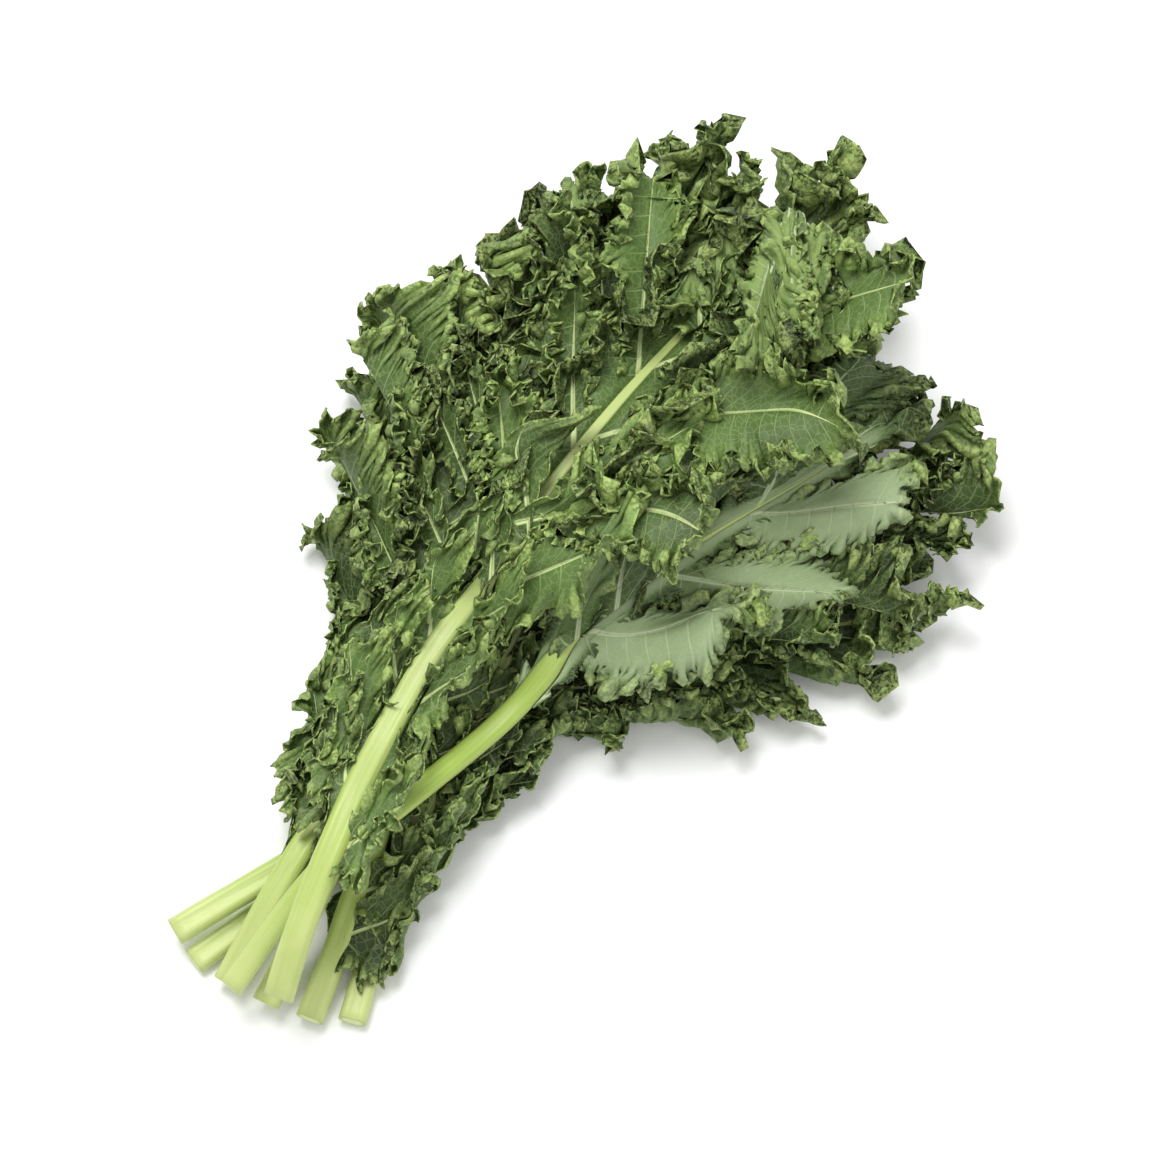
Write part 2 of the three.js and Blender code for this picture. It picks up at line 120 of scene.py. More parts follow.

# The leaves from the table up. A midrib's points are in millimetres: along, to the left and over the table.
# start is the share of the midrib below the blade, and leafletShare that of the blade below its lobes. columns
# are those of one half. What stands above tipTurn is the CAD model's.
# A leaf's darkness number is painted shade: on the whole, the lower a leaf lies in the heap, the darker its
# colour.
leaves = [
    {
        "name": "right_low_leaf",
        "midrib": [
            [-216, 43, 4], [-158, 22, 4], [-115, 6, 4], [-68, -9, 6],
            [-32, -33, 8], [-1, -60, 9], [27, -88, 9], [42, -106, 9],
        ],
        "start": 0.36, "leafletShare": 0.18, "leaflets": 3, "leafletReach": (5, 20),
        "width": (70, 46), "roll": (4, 8), "cup": (4, 4), "ripple": 4.2,
        "tipTurn": 8, "seed": 11, "paintedShadeAndTone": 0.85, "columns": 360,
        "wider": (1.0, 1.22),
        "leafletRow": {"from": -0.22, "to": 0.2, "count": (3, 4), "mm": (18, 26), "crossing": 3},
    },
    {
        "name": "right_leaf",
        "midrib": [
            [-212, 54, 4], [-154, 26, 4], [-108, 6, 8], [-25, -22, 14],
            [42, -55, 16], [80, -81, 16], [92, -90, 16],
        ],
        "start": 0.38, "leafletShare": 0.14, "leaflets": 2, "leafletReach": (5, 22),
        "width": (92, 88), "roll": (4, 8), "cup": (3, 4),
        "tipTurn": 12, "seed": 23, "paintedShadeAndTone": 0.92, "lobed": True, "columns": 180, "lobeColumns": (130, 240),
        "lobeStretch": (0.93, 0.91), "lobeTaper": (0.16, 0.2), "wider": (0.7, 0.72),
        "leafletRow": {"from": -0.27, "to": 0.15, "count": (4, 4), "mm": (20, 19), "crossing": 3},
    },
    {
        "name": "left_leaf",
        "midrib": [
            [-217, 26, 5], [-163, 28, 16], [-126, 30, 15], [-84, 39, 11],
            [-42, 54, 10], [-2, 74, 9], [30, 90, 9],
        ],
        "start": 0.2, "leafletShare": 0.34, "leaflets": 2, "leafletReach": (36, 5), "lobes": (4.5, 4.5),
        "width": (64, 84), "roll": (-4, -10), "cup": (4, 8),
        "tipTurn": 12, "seed": 31, "paintedShadeAndTone": 0.6, "lobed": True, "columns": 180, "lobeColumns": (250, 90),
        "lobeStretch": (1.12, 1.0), "lobeTaper": (0.44, 0.0), "lobeWide": 1.2, "lobeLean": (0.02, 0.03),
        "leafletRow": {"from": 0.05, "to": 0.34, "count": (3, 3), "mm": (31, 20), "crossing": 3},
        "patches": [{"side": 1, "at": 0.165, "mm": 45, "crossing": 2, "wide": 0.48}],
    },
    {
        "name": "far_right_leaf",
        "midrib": [
            [-204, -22, 5], [-158, -8, 4], [-111, 0, 16], [-45, 4, 22],
            [33, 2, 28], [102, 1, 30], [146, 1, 30],
        ],
        "start": 0.13, "leafletShare": 0.42, "leaflets": 4, "leafletReach": (4, 28),
        "width": (88, 92), "roll": (0, 2), "cup": (3, 6),
        "tipTurn": 16, "seed": 41, "paintedShadeAndTone": 0.8, "columns": 400,
        "wider": (0.97, 1.0), "curlShare": 0.6,
        "leafletRow": {"from": -0.07, "to": 0.42, "count": (4, 7), "mm": (20, 22), "crossing": 4},
    },
    {
        "name": "far_leaf",
        "midrib": [
            [-212, -8, 4], [-158, 3, 4], [-116, 12, 16], [-56, 18, 26],
            [14, 24, 34], [77, 32, 38], [128, 40, 38],
        ],
        "start": 0.42, "leafletShare": 0.12, "leaflets": 2, "leafletReach": (5, 8),
        "width": (88, 88), "roll": (0, -4), "cup": (3, 6),
        "tipTurn": 16, "seed": 53, "paintedShadeAndTone": 0.85, "columns": 400,
        "wider": (0.95, 0.97), "curlShare": 0.6,
        "patches": [
            {"side": -1, "at": -0.54, "mm": 27, "crossing": 4, "wide": 0.7},
            {"side": -1, "at": -0.46, "mm": 24, "crossing": 4, "wide": 0.7},
        ],
        "leafletRow": {"from": -0.36, "to": 0.14, "count": (4, 4), "mm": (20, 20), "crossing": 4},
    },
    {
        "name": "left_top_leaf",
        "midrib": [
            [-216, 9, 8], [-162, 14, 17], [-122, 22, 22], [-74, 33, 30],
            [-24, 46, 40], [25, 62, 46], [64, 75, 46],
        ],
        "start": 0.38, "leafletShare": 0.18, "leaflets": 2, "leafletReach": (24, 6), "lobes": (5.5, 4.5),
        "width": (84, 80), "roll": (-4, -8), "cup": (4, 8), "lobeLift": 5.5, "ripple": 5,
        "tipTurn": 10, "seed": 61, "paintedShadeAndTone": 0.5, "lobed": True, "columns": 180, "lobeColumns": (300, 110),
        "lobeStretch": (0.92, 1.0), "lobeTaper": (0.4, 0.0), "lobeWide": 1.1,
        "crossing": 10, "ribShare": 0.35,
        "leafletRow": {"from": -0.26, "to": 0.22, "count": (5, 5), "mm": (28, 22), "crossing": 8},
    },
    {
        "name": "turned_leaf",
        "midrib": [
            [-221, 21, 18], [-162, 12, 26], [-132, 2, 30], [-79, -11, 38],
            [-35, -22, 48], [24, -45, 54], [76, -67, 54],
        ],
        "start": 0.5, "leafletShare": 0.06, "leaflets": 1, "leafletReach": (5, 14), "lobes": (3.5, 3.5),
        "width": (64, 84), "roll": (176, 190), "cup": (4, 16), "lobeLift": 6, "ripples": 10,
        "tipTurn": 8, "seed": 71, "paintedShadeAndTone": 0.4, "lobed": True, "columns": 180, "lobeColumns": (280, 300),
        "lobeStretch": (1.08, 1.02), "lobeWide": 1.22, "veinShare": 1.5,
        "lobeFace": -1, "bloom": 1.0, "stalkShare": 0.74,
        "curlShare": 0.55, "coreShare": 0.2, "ribShare": 0.22, "slims": (0.08, 0.2), "halfPaintedShadeAndTone": (0.0, 0.45),
        "patches": [
            {"side": -1, "at": 0.2, "mm": 34, "crossing": 7, "wide": 0.5},
            {"side": -1, "at": 0.32, "mm": 40, "crossing": 8, "wide": 0.55},
            {"side": -1, "at": 0.45, "mm": 40, "crossing": 8, "wide": 0.55},
        ],
    },
    {
        "name": "top_leaf",
        "midrib": [
            [-217, 1, 22], [-164, 11, 36], [-113, 20, 42], [-70, 22, 50], [-32, 17, 60],
            [27, 12, 68], [88, 8, 72], [130, 2, 72], [170, -6, 72],
        ],
        "start": 0.13, "leafletShare": 0.37, "leaflets": 2, "leafletReach": (15, 26),
        "width": (96, 98), "roll": (0, 0), "cup": (8, -2), "lobeLift": 6.5, "ripple": 5.4, "ripples": 13,
        "tipTurn": 0, "seed": 83, "midribColumns": 22, "paintedShadeAndTone": 0.3, "lobed": True, "columns": 160,
        "lobeColumns": (220, 220), "lobeTaper": (0.0, 0.16),
        "lobeStretch": (1.22, 1.24), "lobeLean": (0.0, -0.07),
        "leafletRow": {"from": 0.04, "to": 0.37, "count": (5, 3), "mm": (30, 26), "crossing": -2.5},
        "bloom": 0.0, "stalkShare": 0.93, "swollen": 0.5, "veinShare": 1.7,
        "patches": [
            {"side": -1, "at": 0.025, "mm": 25, "crossing": 1, "wide": 0.75},
            {"side": 1, "at": 0.915, "mm": 46, "crossing": 5, "wide": 0.6, "face": -1},
            {"side": -1, "at": 0.92, "mm": 50, "crossing": 5, "wide": 0.6, "face": -1},
            {"side": 1, "at": 0.97, "mm": 44, "crossing": 6, "wide": 0.6, "face": -1},
            {"side": 1, "at": 0.385, "mm": 20, "crossing": 9, "wide": 0.5},
            {"side": -1, "at": 0.43, "mm": 26, "crossing": 11, "wide": 0.5},
            {"side": 1, "at": 0.445, "mm": 24, "crossing": 11, "wide": 0.6},
            {"side": -1, "at": 0.35, "mm": 54, "crossing": 0, "wide": 0.48},
            {"side": -1, "at": 0.475, "mm": 56, "crossing": 0, "wide": 0.46},
            {"side": 1, "at": 0.76, "mm": 27, "crossing": 10, "wide": 0.6},
        ],
        "fold": {"along": 0.88, "skew": 20, "turn": 158, "radius": 8},
    },
]
leaves = [{**usualLeaf, **leaf} for leaf in leaves]


# From a to b by a share of the way.
def mix(a, b, share):
    return a + (b - a) * share


# 0 below low, 1 above high, and 3 x^2 - 2 x^3 between them.
def smooth(low, high, value):
    x = np.clip((value - low) / (high - low), 0, 1)
    return x * x * (3 - 2 * x)


# A fixed draw from 0 to 1: the fraction left of a large multiple of a sine.
def draw(seed, use):
    x = math.sin(seed * 12.9898 + use * 78.233) * 437.585
    return x - math.floor(x)


# The sum of three sines of rising rate and falling size, from about -1 to 1.
def wander(seed, use, margin, rate):
    total = 0
    for k in range(3):
        turns = rate * (1 + 0.73 * k) * margin + draw(seed, use + k)
        total = total + np.sin(2 * math.pi * turns) / (1 + 0.6 * k)
    return total / 1.6


# Smooth noise over a plane, from about -1 to 1 and changing over about a unit: six crossed sines.
def swirl(seed, use, x, y):
    total = 0
    for k in range(6):
        way = math.pi * (k + draw(seed, use + 10 + k)) / 6
        rate = 0.6 + 0.7 * draw(seed, use + 20 + k)
        turns = rate * (x * math.cos(way) + y * math.sin(way)) + draw(seed, use + k)
        total = total + np.sin(2 * math.pi * turns)
    return total / 2.6


# Vectors divided by their own lengths.
def unit(v):
    return v / np.maximum(1e-12, np.linalg.norm(v, axis=-1, keepdims=True))


# A uniform Catmull-Rom curve through the points: a cubic between each two, with slopes half the step from
# the point before to the point after.
def curvePoints(points, t):
    p = np.array(points, float)
    p = np.vstack([2 * p[0] - p[1], p, 2 * p[-1] - p[-2]])
    x = np.clip(t, 0, 1) * (len(points) - 1)
    i = np.minimum(x.astype(int), len(points) - 2)
    w = (x - i)[:, None]
    a, b, c, d = p[i], p[i + 1], p[i + 2], p[i + 3]
    slopeB, slopeC = (c - a) / 2, (d - b) / 2
    square = 3 * (c - b) - 2 * slopeB - slopeC
    cube = 2 * (b - c) + slopeB + slopeC
    return b + slopeB * w + square * w**2 + cube * w**3


# The length of a line of points up to each of them.
def lengthSoFar(points):
    return np.concatenate([[0], np.cumsum(np.linalg.norm(np.diff(points, axis=0), axis=1))])


# The frame carried along a leaf: place, the way ahead, the way to the left half and the upper face's normal,
# at even steps of length. roll turns it about the midrib, and tipTurn bends the tip towards its upper face.
def carryFrame(leaf):
    count = form["stationCount"]
    t = np.linspace(0, 1, 601)
    lengths = lengthSoFar(curvePoints(leaf["midrib"], t))
    share = np.linspace(0, 1, count + 1)
    even = np.interp(share * lengths[-1], lengths, t)
    place = curvePoints(leaf["midrib"], even)
    small = 1e-4
    ahead = unit(curvePoints(leaf["midrib"], even + small) - curvePoints(leaf["midrib"], even - small))
    left = unit(np.cross([0, 0, 1], ahead))
    up = np.cross(ahead, left)
    along = (share - leaf["start"]) / (1 - leaf["start"])
    roll = (mix(leaf["roll"][0], leaf["roll"][1], smooth(0, 1, along)) * degrees)[:, None]
    rolledLeft = left * np.cos(roll) + up * np.sin(roll)
    rolledUp = up * np.cos(roll) - left * np.sin(roll)
    begin = form["tipTurnStart"]
    turn = (leaf["tipTurn"] * degrees * np.maximum(0, (along - begin) / (1 - begin)))[:, None]
    turned = ahead * np.cos(turn) + rolledUp * np.sin(turn)
    normal = rolledUp * np.cos(turn) - ahead * np.sin(turn)
    bent = along > begin
    last = np.nonzero(~bent)[0][-1]
    place[bent] = place[last] + np.cumsum(turned[bent], axis=0) * lengths[-1] / count
    made = {"place": place, "ahead": turned, "left": rolledLeft, "up": normal, "length": lengths[-1]}
    if "fold" in leaf:
        i = int(math.floor((leaf["start"] + (1 - leaf["start"]) * leaf["fold"]["along"]) * count + 0.5))
        skew = leaf["fold"]["skew"] * degrees
        made["fold"] = {
            "place": place[i], "up": normal[i],
            "across": turned[i] * math.cos(skew) + rolledLeft[i] * math.sin(skew),
            "radius": leaf["fold"]["radius"], "turn": leaf["fold"]["turn"] * degrees,
        }
    return made


# The frame at shares of the whole length, by straight interpolation between stations.
def frameAt(carried, share):
    x = np.clip(np.asarray(share) * form["stationCount"], 0, form["stationCount"] - 1e-9)
    i = x.astype(int)
    w = (x - i)[..., None]
    return [mix(carried[key][i], carried[key][i + 1], w) for key in ("place", "ahead", "left", "up")]


# What lies beyond the fold line is wrapped round a cylinder and then runs straight on.
def foldBack(carried, points):
    if "fold" not in carried:
        return points
    fold = carried["fold"]
    offset = points - fold["place"]
    beyond = offset @ fold["across"]
    high = offset @ fold["up"]
    angle = np.clip(beyond / fold["radius"], 0, fold["turn"])
    rest = beyond - angle * fold["radius"]
    newBeyond = (fold["radius"] - high) * np.sin(angle) + rest * np.cos(angle)
    newHigh = fold["radius"] - (fold["radius"] - high) * np.cos(angle) + rest * np.sin(angle)
    moved = (newBeyond - beyond)[..., None] * fold["across"] + (newHigh - high)[..., None] * fold["up"]
    return np.where((beyond > 0)[..., None], points + moved, points)


# The share of the blade at which the CAD model's midrib ends.
def midribEnd(leaf):
    return (leaf["midribColumns"] + 0.1) / form["innerColumns"]


# Half the stalk's width: plain below the blade, and then it falls with the 0.8 power of what is left.
def halfStalk(end, along):
    narrowing = np.clip(1 - np.asarray(along) / end, 0, 1) ** 0.8
    return mix(form["midribTipWidth"], form["stalkWidth"], np.minimum(1, narrowing * 1.05)) / 2


# The fine midrib is slimmer than the CAD model's, so that it suits the thinner blade.
def fineHalfStalk(leaf, along):
    slimmer = mix(1, leaf["ribShare"], smooth(*leaf["slims"], np.asarray(along)))
    return halfStalk(detail["ribEnd"], along) * slimmer


# How far the blade reaches from the midrib: squared sines for the leaflets, then an oval times a cosine lobe.
def reach(leaf, side, along, wing):
    half = 0 if side > 0 else 1
    low = along / leaf["leafletShare"]
    leaflet = np.sin(math.pi * leaf["leaflets"] * low) ** 2
    leaflets = mix(wing, leaf["leafletReach"][half] * (0.6 + 0.4 * low), leaflet)
    high = np.maximum(0, pastLeaflets(leaf, along))
    width = mix(leaf["width"][half], sum(leaf["width"]) / 2, high**4)
    oval = mix(form["ovalEnds"], 1, np.sin(math.pi * high**0.85))
    lobe = 1 - form["lobeDepth"] * np.cos(math.pi * leaf["lobes"][half] * high) ** 2
    lobes = mix(wing, width * oval * lobe, smooth(0, 0.09, high))
    return np.where(along < leaf["leafletShare"], leaflets, lobes)


# The reach before the rim curls, which takes from it.
def fineReach(leaf, side, along):
    length = reach(leaf, side, along, detail["wing"])
    wider = detail["stretch"] * leaf["wider"][0 if side > 0 else 1]
    return length * mix(1, wider, smooth(10, 30, length))


# The share of the way from the leaflets' end to the tip.
def pastLeaflets(leaf, along):
    return (along - leaf["leafletShare"]) / (1 - leaf["leafletShare"])


# Where in its waves the margin's ripple stands.
def ripplePhase(leaf, margin):
    return 2 * math.pi * leaf["ripples"] * margin + 1.5 * wander(leaf["seed"], 40, margin, 3.1)


# Half the height of the CAD model's ripples at the margin.
def rippleHeight(leaf, margin, length):
    size = leaf["ripple"] * (0.75 + 0.25 * wander(leaf["seed"], 60, margin, 4.3))
    return size * np.minimum(1, length / form["fullRippleReach"])


# The blade's middle surface over along and out, both from 0 to 1. Each side vein is an arc, whose slope turns
# evenly from the midrib to the margin, with lobes and ripples added along its normal. The fine one meets the
# midrib, and its ripples come later, on the curled rim. lobeMm stands in for the reach.
def bladeSurface(leaf, carried, side, along, out, fine=False, lobeMm=None):
    half = 0 if side > 0 else 1
    place, ahead, left, up = frameAt(carried, leaf["start"] + (1 - leaf["start"]) * along)
    margin = along if side > 0 else 2 - along
    tip = along**3
    sweep = mix(form["veinSweep"], math.pi / 2, tip)[..., None]
    outward = left * side * np.cos(sweep) + ahead * np.sin(sweep)
    if fine:
        slot = fineHalfStalk(leaf, along) * detail["ribSink"] * smooth(1, 0.97, along)
    else:
        closing = np.clip(along * form["innerColumns"] - leaf["midribColumns"], 0, 1)
        slot = (halfStalk(midribEnd(leaf), along) + form["slotGap"]) * (1 - closing)
    slope = mix(leaf["cup"][0], 0, tip) * degrees
    curl = leaf["cup"][1] * degrees + form["curlWander"] * wander(leaf["seed"], 20, margin, 1.7)
    turn = mix(curl, form["tipCurl"], tip) + 1e-6
    phase = ripplePhase(leaf, margin)
    length = fineReach(leaf, side, along) if fine else reach(leaf, side, along, form["wingReach"])
    if lobeMm is not None:
        length = np.full(np.shape(along), lobeMm)
    length = length * (1 + form["scallop"] * out**3 * np.sin(phase + 1))
    angle = slope + turn * out
    flat = length * (np.sin(angle) - np.sin(slope)) / turn
    raised = length * (np.cos(slope) - np.cos(angle)) / turn
    normal = up * np.cos(angle)[..., None] - outward * np.sin(angle)[..., None]
    high = np.maximum(0, pastLeaflets(leaf, along))
    lobeWave = np.cos(2 * math.pi * leaf["lobes"][half] * high) * mix(0.2, 1, smooth(0, 0.12, high))
    ripple = 0 if fine else rippleHeight(leaf, margin, length) * np.sin(phase)
    rise = leaf["lobeLift"] * out**2 * lobeWave + ripple * np.maximum(out, 0) ** 2.5
    point = place + left * (side * slot)[..., None] + outward * flat[..., None] + up * raised[..., None]
    return foldBack(carried, point + normal * rise[..., None])


# The heap: each leaf is lifted until it clears what lies under it

cells = [math.ceil(2 * half / form["cellSize"]) for half in form["heapReach"]]


# The cell of the heap that each point lies over.
def cellOf(points):
    i = np.floor((points[:, 0] + form["heapReach"][0]) / form["cellSize"]).astype(int)
    j = np.floor((points[:, 1] + form["heapReach"][1]) / form["cellSize"]).astype(int)
    return i, j


# Each cell takes the largest, or the mean, of those within so many cells along both axes.
def spread(grid, reachCells, combine):
    for axis in (0, 1):
        margins = [(reachCells, reachCells) if a == axis else (0, 0) for a in (0, 1)]
        padded = np.pad(grid, margins, mode="edge")
        size = grid.shape[axis]
        grid = combine([np.take(padded, range(k, k + size), axis=axis) for k in range(2 * reachCells + 1)])
    return grid


def widest(grid, reachCells):
    return spread(grid, reachCells, lambda shifted: np.max(shifted, axis=0))


def blurred(grid, reachCells):
    return spread(grid, reachCells, lambda shifted: np.mean(shifted, axis=0))


# A grid's value at places, from the four cells round each.
def valueAt(grid, points):
    u = (points[..., 0] + form["heapReach"][0]) / form["cellSize"] - 0.5
    v = (points[..., 1] + form["heapReach"][1]) / form["cellSize"] - 0.5
    i = np.clip(np.floor(u).astype(int), 0, cells[0] - 2)
    j = np.clip(np.floor(v).astype(int), 0, cells[1] - 2)
    near = mix(grid[i, j], grid[i + 1, j], u - i)
    far = mix(grid[i, j + 1], grid[i + 1, j + 1], u - i)
    return mix(near, far, v - j)


# Lays each leaf down in turn. A cell's need is how far what lies there has to rise. The lift is the widest
# need nearby, blurred twice. under is the heap's top below a leaf, and over the lowest face above it.
def stackLeaves():
    ground = -form["leafGap"] - form["tablePress"]
    heap = {"all": np.full(cells, ground), "blades": np.full(cells, ground)}
    stalks = np.empty((0, 4))
    gap = form["leafGap"]
    alongCount, outCount, stalkCount = form["samples"]
    evenly = [np.linspace(0, 1, count + 1) for count in (alongCount, outCount)]
    along, out = np.meshgrid(*evenly, indexing="ij")
    stacked = []
    for leaf in leaves:
        carried = carryFrame(leaf)
        halves = [bladeSurface(leaf, carried, side, along, out).reshape(-1, 3) for side in (1, -1)]
        blade = np.concatenate(halves)
        share = np.linspace(0, 1, stalkCount + 1) * (leaf["start"] + (1 - leaf["start"]) * midribEnd(leaf))
        stalk = foldBack(carried, frameAt(carried, share)[0])
        half = halfStalk(midribEnd(leaf), (share - leaf["start"]) / (1 - leaf["start"]))
        thick = form["bladeThickness"] / 2
        need = np.zeros(cells)
        np.maximum.at(need, cellOf(blade), widest(heap["all"], 1)[cellOf(blade)] + gap - blade[:, 2] + thick)
        onBlades = widest(heap["blades"], 1)[cellOf(stalk)] + gap - stalk[:, 2] + half * form["depthShare"]
        np.maximum.at(need, cellOf(stalk), onBlades)
        if len(stalks):
            contact = half[:, None] + stalks[None, :, 3] + gap
            apart = np.hypot(stalk[:, None, 0] - stalks[None, :, 0], stalk[:, None, 1] - stalks[None, :, 1])
            rest = stalks[None, :, 2] + form["depthShare"] * np.sqrt(np.maximum(0, contact**2 - apart**2))
            rise = np.where(apart < contact, rest - stalk[:, None, 2], 0).max(axis=1)
            np.maximum.at(need, cellOf(stalk), rise)
        blur = math.ceil(form["drapeCells"] / 2)
        lift = blurred(blurred(widest(need, form["drapeCells"]), blur), form["drapeCells"] - blur)
        under = heap["all"].copy()
        top = blade[:, 2] + valueAt(lift, blade) + thick
        np.maximum.at(heap["all"], cellOf(blade), top)
        np.maximum.at(heap["blades"], cellOf(blade), top)
        lifted = stalk[:, 2] + valueAt(lift, stalk)
        np.maximum.at(heap["all"], cellOf(stalk), lifted + half * form["depthShare"])
        stalks = np.vstack([stalks, np.column_stack([stalk[:, :2], lifted, half])])
        bottom = np.full(cells, 1e3)
        np.minimum.at(bottom, cellOf(stalk), lifted - half * form["depthShare"])
        bottom = -widest(-bottom, 1)
        np.minimum.at(bottom, cellOf(blade), top - 2 * thick)
        stacked.append({"leaf": leaf, "carried": carried, "lift": lift, "under": under, "bottom": bottom})
    ceiling = np.full(cells, 1e3)
    for entry in reversed(stacked):
        entry["over"] = ceiling.copy()
        ceiling = np.minimum(ceiling, entry["bottom"])
    return stacked


# Fine blades

detail = {
    "ribEnd": 0.99,  # share of the blade at which the fine midrib ends
    "ribSink": 0.8,  # the blade's inner edge lies this far out in the midrib
    "wing": 0.4,
    "evenMargin": 0.8,  # how far the columns follow the margin's length instead of the midrib's
    "stretch": 1.13,  # of the reach, for what the curl takes from it
    "sheet": 0.5,  # thickness away from the veins
    "veinRelief": (0.15, 0.5),  # of a side vein on the upper and the lower face
    "veinLean": 0.035,  # how far a side vein leans ahead, as a share of the blade
    "clearance": 0.5,  # kept from the leaves over and under
    "capSoftness": 2.0,  # over how many millimetres a sheet is eased to that clearance
    "lowest": 0.02,  # over the table
    "veinWidth": (0.75, 0.62),  # of the side veins on the blade's own sheet and on a lobe
    "veinTip": 0.12,
    "crestShares": (0.25, 0.45, 0.3),  # of the three levels of frills in the mark that places painted highlights on crests and painted shade in troughs
    "toothWaves": (3.9, 9.1, 8.6),  # of small and larger teeth and of the notches
}

# How a sheet is dressed. rowPower above 1 crowds its rows towards the margin. pucker is how far it swells
# between veins, teeth and notches how far the margin steps out, and fullReach the reach at which frills are
# full size. The rim curls towards the upper face by an angle that varies, over a band and round a radius.
# Each level of frills has a wavelength along the margin, a height, a sideways swing, where it begins and is
# full, and how far its folds stray, as an angle and over what length.
wholeLook = {
    "rows": 17, "rowPower": 1.4, "pucker": 1.5, "teeth": 1.7, "notches": 2.0, "fullReach": 26,
    "curl": {
        "angle": 95 * degrees, "vary": 75 * degrees, "band": 19.0,
        "varyBand": 6.0, "radius": 5.5, "over": 34,
    },
    "frills": (
        {"wave": 19, "height": 2.0, "swing": 1.5, "begin": 0.3, "full": 0.85, "stray": 0.0, "over": 40},
        {"wave": 5.4, "height": 2.4, "swing": 1.0, "begin": 0.4, "full": 0.78, "stray": 2.2, "over": 22},
        {"wave": 3.0, "height": 1.4, "swing": 0.5, "begin": 0.5, "full": 0.85, "stray": 2.0, "over": 10},
    ),
}
coreLook = {**wholeLook, "rows": 12}
lobeLook = {
    "rows": 12, "rowPower": 1.25, "pucker": 1.0, "teeth": 2.0, "notches": 2.8, "fullReach": 12,
    "curl": {
        "angle": 95 * degrees, "vary": 75 * degrees, "band": 10.0,
        "varyBand": 3.0, "radius": 3.6, "over": 26,
    },
    "frills": (
        {"wave": 9.6, "height": 2.7, "swing": 1.2, "begin": 0.4, "full": 0.95, "stray": 0.9, "over": 24},
        {"wave": 3.9, "height": 2.1, "swing": 0.8, "begin": 0.42, "full": 0.78, "stray": 1.7, "over": 12},
        {"wave": 2.3, "height": 1.35, "swing": 0.42, "begin": 0.48, "full": 0.78, "stray": 1.8, "over": 6},
    ),
}
leafletLook = {
    **lobeLook, "rows": 9, "teeth": 1.2, "fullReach": 9, "notches": 3.6,
    "curl": {
        "angle": 30 * degrees, "vary": 70 * degrees, "band": 6.0,
        "varyBand": 2.0, "radius": 3.4, "over": 20,
    },
    "frills": (
        {"wave": 12.0, "height": 2.6, "swing": 0.9, "begin": 0.15, "full": 0.9, "stray": 0.8, "over": 20},
        {"wave": 4.6, "height": 1.5, "swing": 0.6, "begin": 0.35, "full": 0.85, "stray": 1.4, "over": 10},
    ),
}
lobeForm = {
    "leafletWidth": 0.6,  # half a leaflet's width, as a share of its length
    "leafletColumns": 96,
    "leafletLean": 0.03,
    "cutEnd": 0.03,  # no leaflet comes closer to the cut end, as a share of the blade
    "crossingLift": 0.6,  # how high a lobe rides over the midrib for each millimetre that it crosses it
    "coreShade": 0.75,  # painted shade: how much darker the blade is made under its lobes
    "footShade": 0.35,  # painted shade: how much darker a lobe is made at its foot
    "coreGrows": (0.72, 0.95),  # between these it grows to its full reach at the tip
    "lastLobe": 0.9,
    "halfWidth": 0.66,  # of the space that a lobe has, so that lobes overlap
    "foot": 0.07,  # where a lobe begins, as a share of its length
    "footWidth": 0.5,
    "roundness": 0.6,  # below 1, the lobe is more oblong
    "lean": 0.2,  # how far its fine veins lean outwards
    "float": 0.9,  # its height over the blade
    "spoon": 3.0,
    "tilt": 3.2,
    "arch": (-2.0, 12.0),
}


# The normal and the way along the columns of a grid of points, from central differences.
def gridFrame(points):
    du = np.gradient(points, axis=0)
    dv = np.gradient(points, axis=1)
    return unit(np.cross(du, dv)), unit(du)


# Columns of one half: shares of the blade at which they stand, and the length of margin up to each.
def spaceColumns(leaf, carried, side):
    along = np.linspace(0, 1, 1600)
    edge = bladeSurface(leaf, carried, side, along, np.ones_like(along), fine=True)
    length = lengthSoFar(edge)
    even = mix(along, length / length[-1], detail["evenMargin"])
    chosen = np.interp(np.linspace(0, 1, leaf["columns"]), even, along)
    return chosen, np.interp(chosen, along, length)


# Rows of a grid at a row number for each column, which may be a fraction.
def rowsAt(grid, row):
    columns = np.arange(grid.shape[0])
    low = np.clip(np.floor(row).astype(int), 0, grid.shape[1] - 2)
    return mix(grid[columns, low], grid[columns, low + 1], (row - low)[:, None])


# The rim wrapped round a cylinder that lies along it, as foldBack does with the tip, by an angle that strays
# along the margin and in places turns down instead.
def curlRim(sheet, curl):
    points, out, reachMm, seed = sheet["points"], sheet["out"], sheet["reachMm"], sheet["seed"]
    at = sheet["margin"] / curl["over"]
    angle = sheet["curlShare"] * (curl["angle"] + curl["vary"] * swirl(seed, 600, at, 0.7))
    band = np.minimum(curl["band"] + curl["varyBand"] * swirl(seed, 640, at, 0.3), 0.5 * reachMm)
    begin = 1 - band / np.maximum(reachMm, 1e-3)
    row = np.interp(begin, out, np.arange(len(out)))
    normal = unit(rowsAt(gridFrame(points)[0], row))[:, None]
    outward = unit(rowsAt(unit(np.gradient(points, axis=1)), row))[:, None]
    beyond = np.maximum(0, (out[None, :] - begin[:, None]) * reachMm[:, None])
    turned = np.minimum(beyond / curl["radius"], np.abs(angle)[:, None])
    rest = beyond - turned * curl["radius"]
    flat = curl["radius"] * np.sin(turned) + rest * np.cos(turned) - beyond
    raised = (curl["radius"] * (1 - np.cos(turned)) + rest * np.sin(turned)) * np.sign(angle)[:, None]
    return points + outward * flat[..., None] + normal * raised[..., None]


# A soft limit: value up to the limit less a margin, and then it closes in on the limit.
def softCap(value, limit, margin):
    over = value - (limit - margin)
    return np.where(over > 0, limit - margin + margin * np.tanh(over / margin), value)


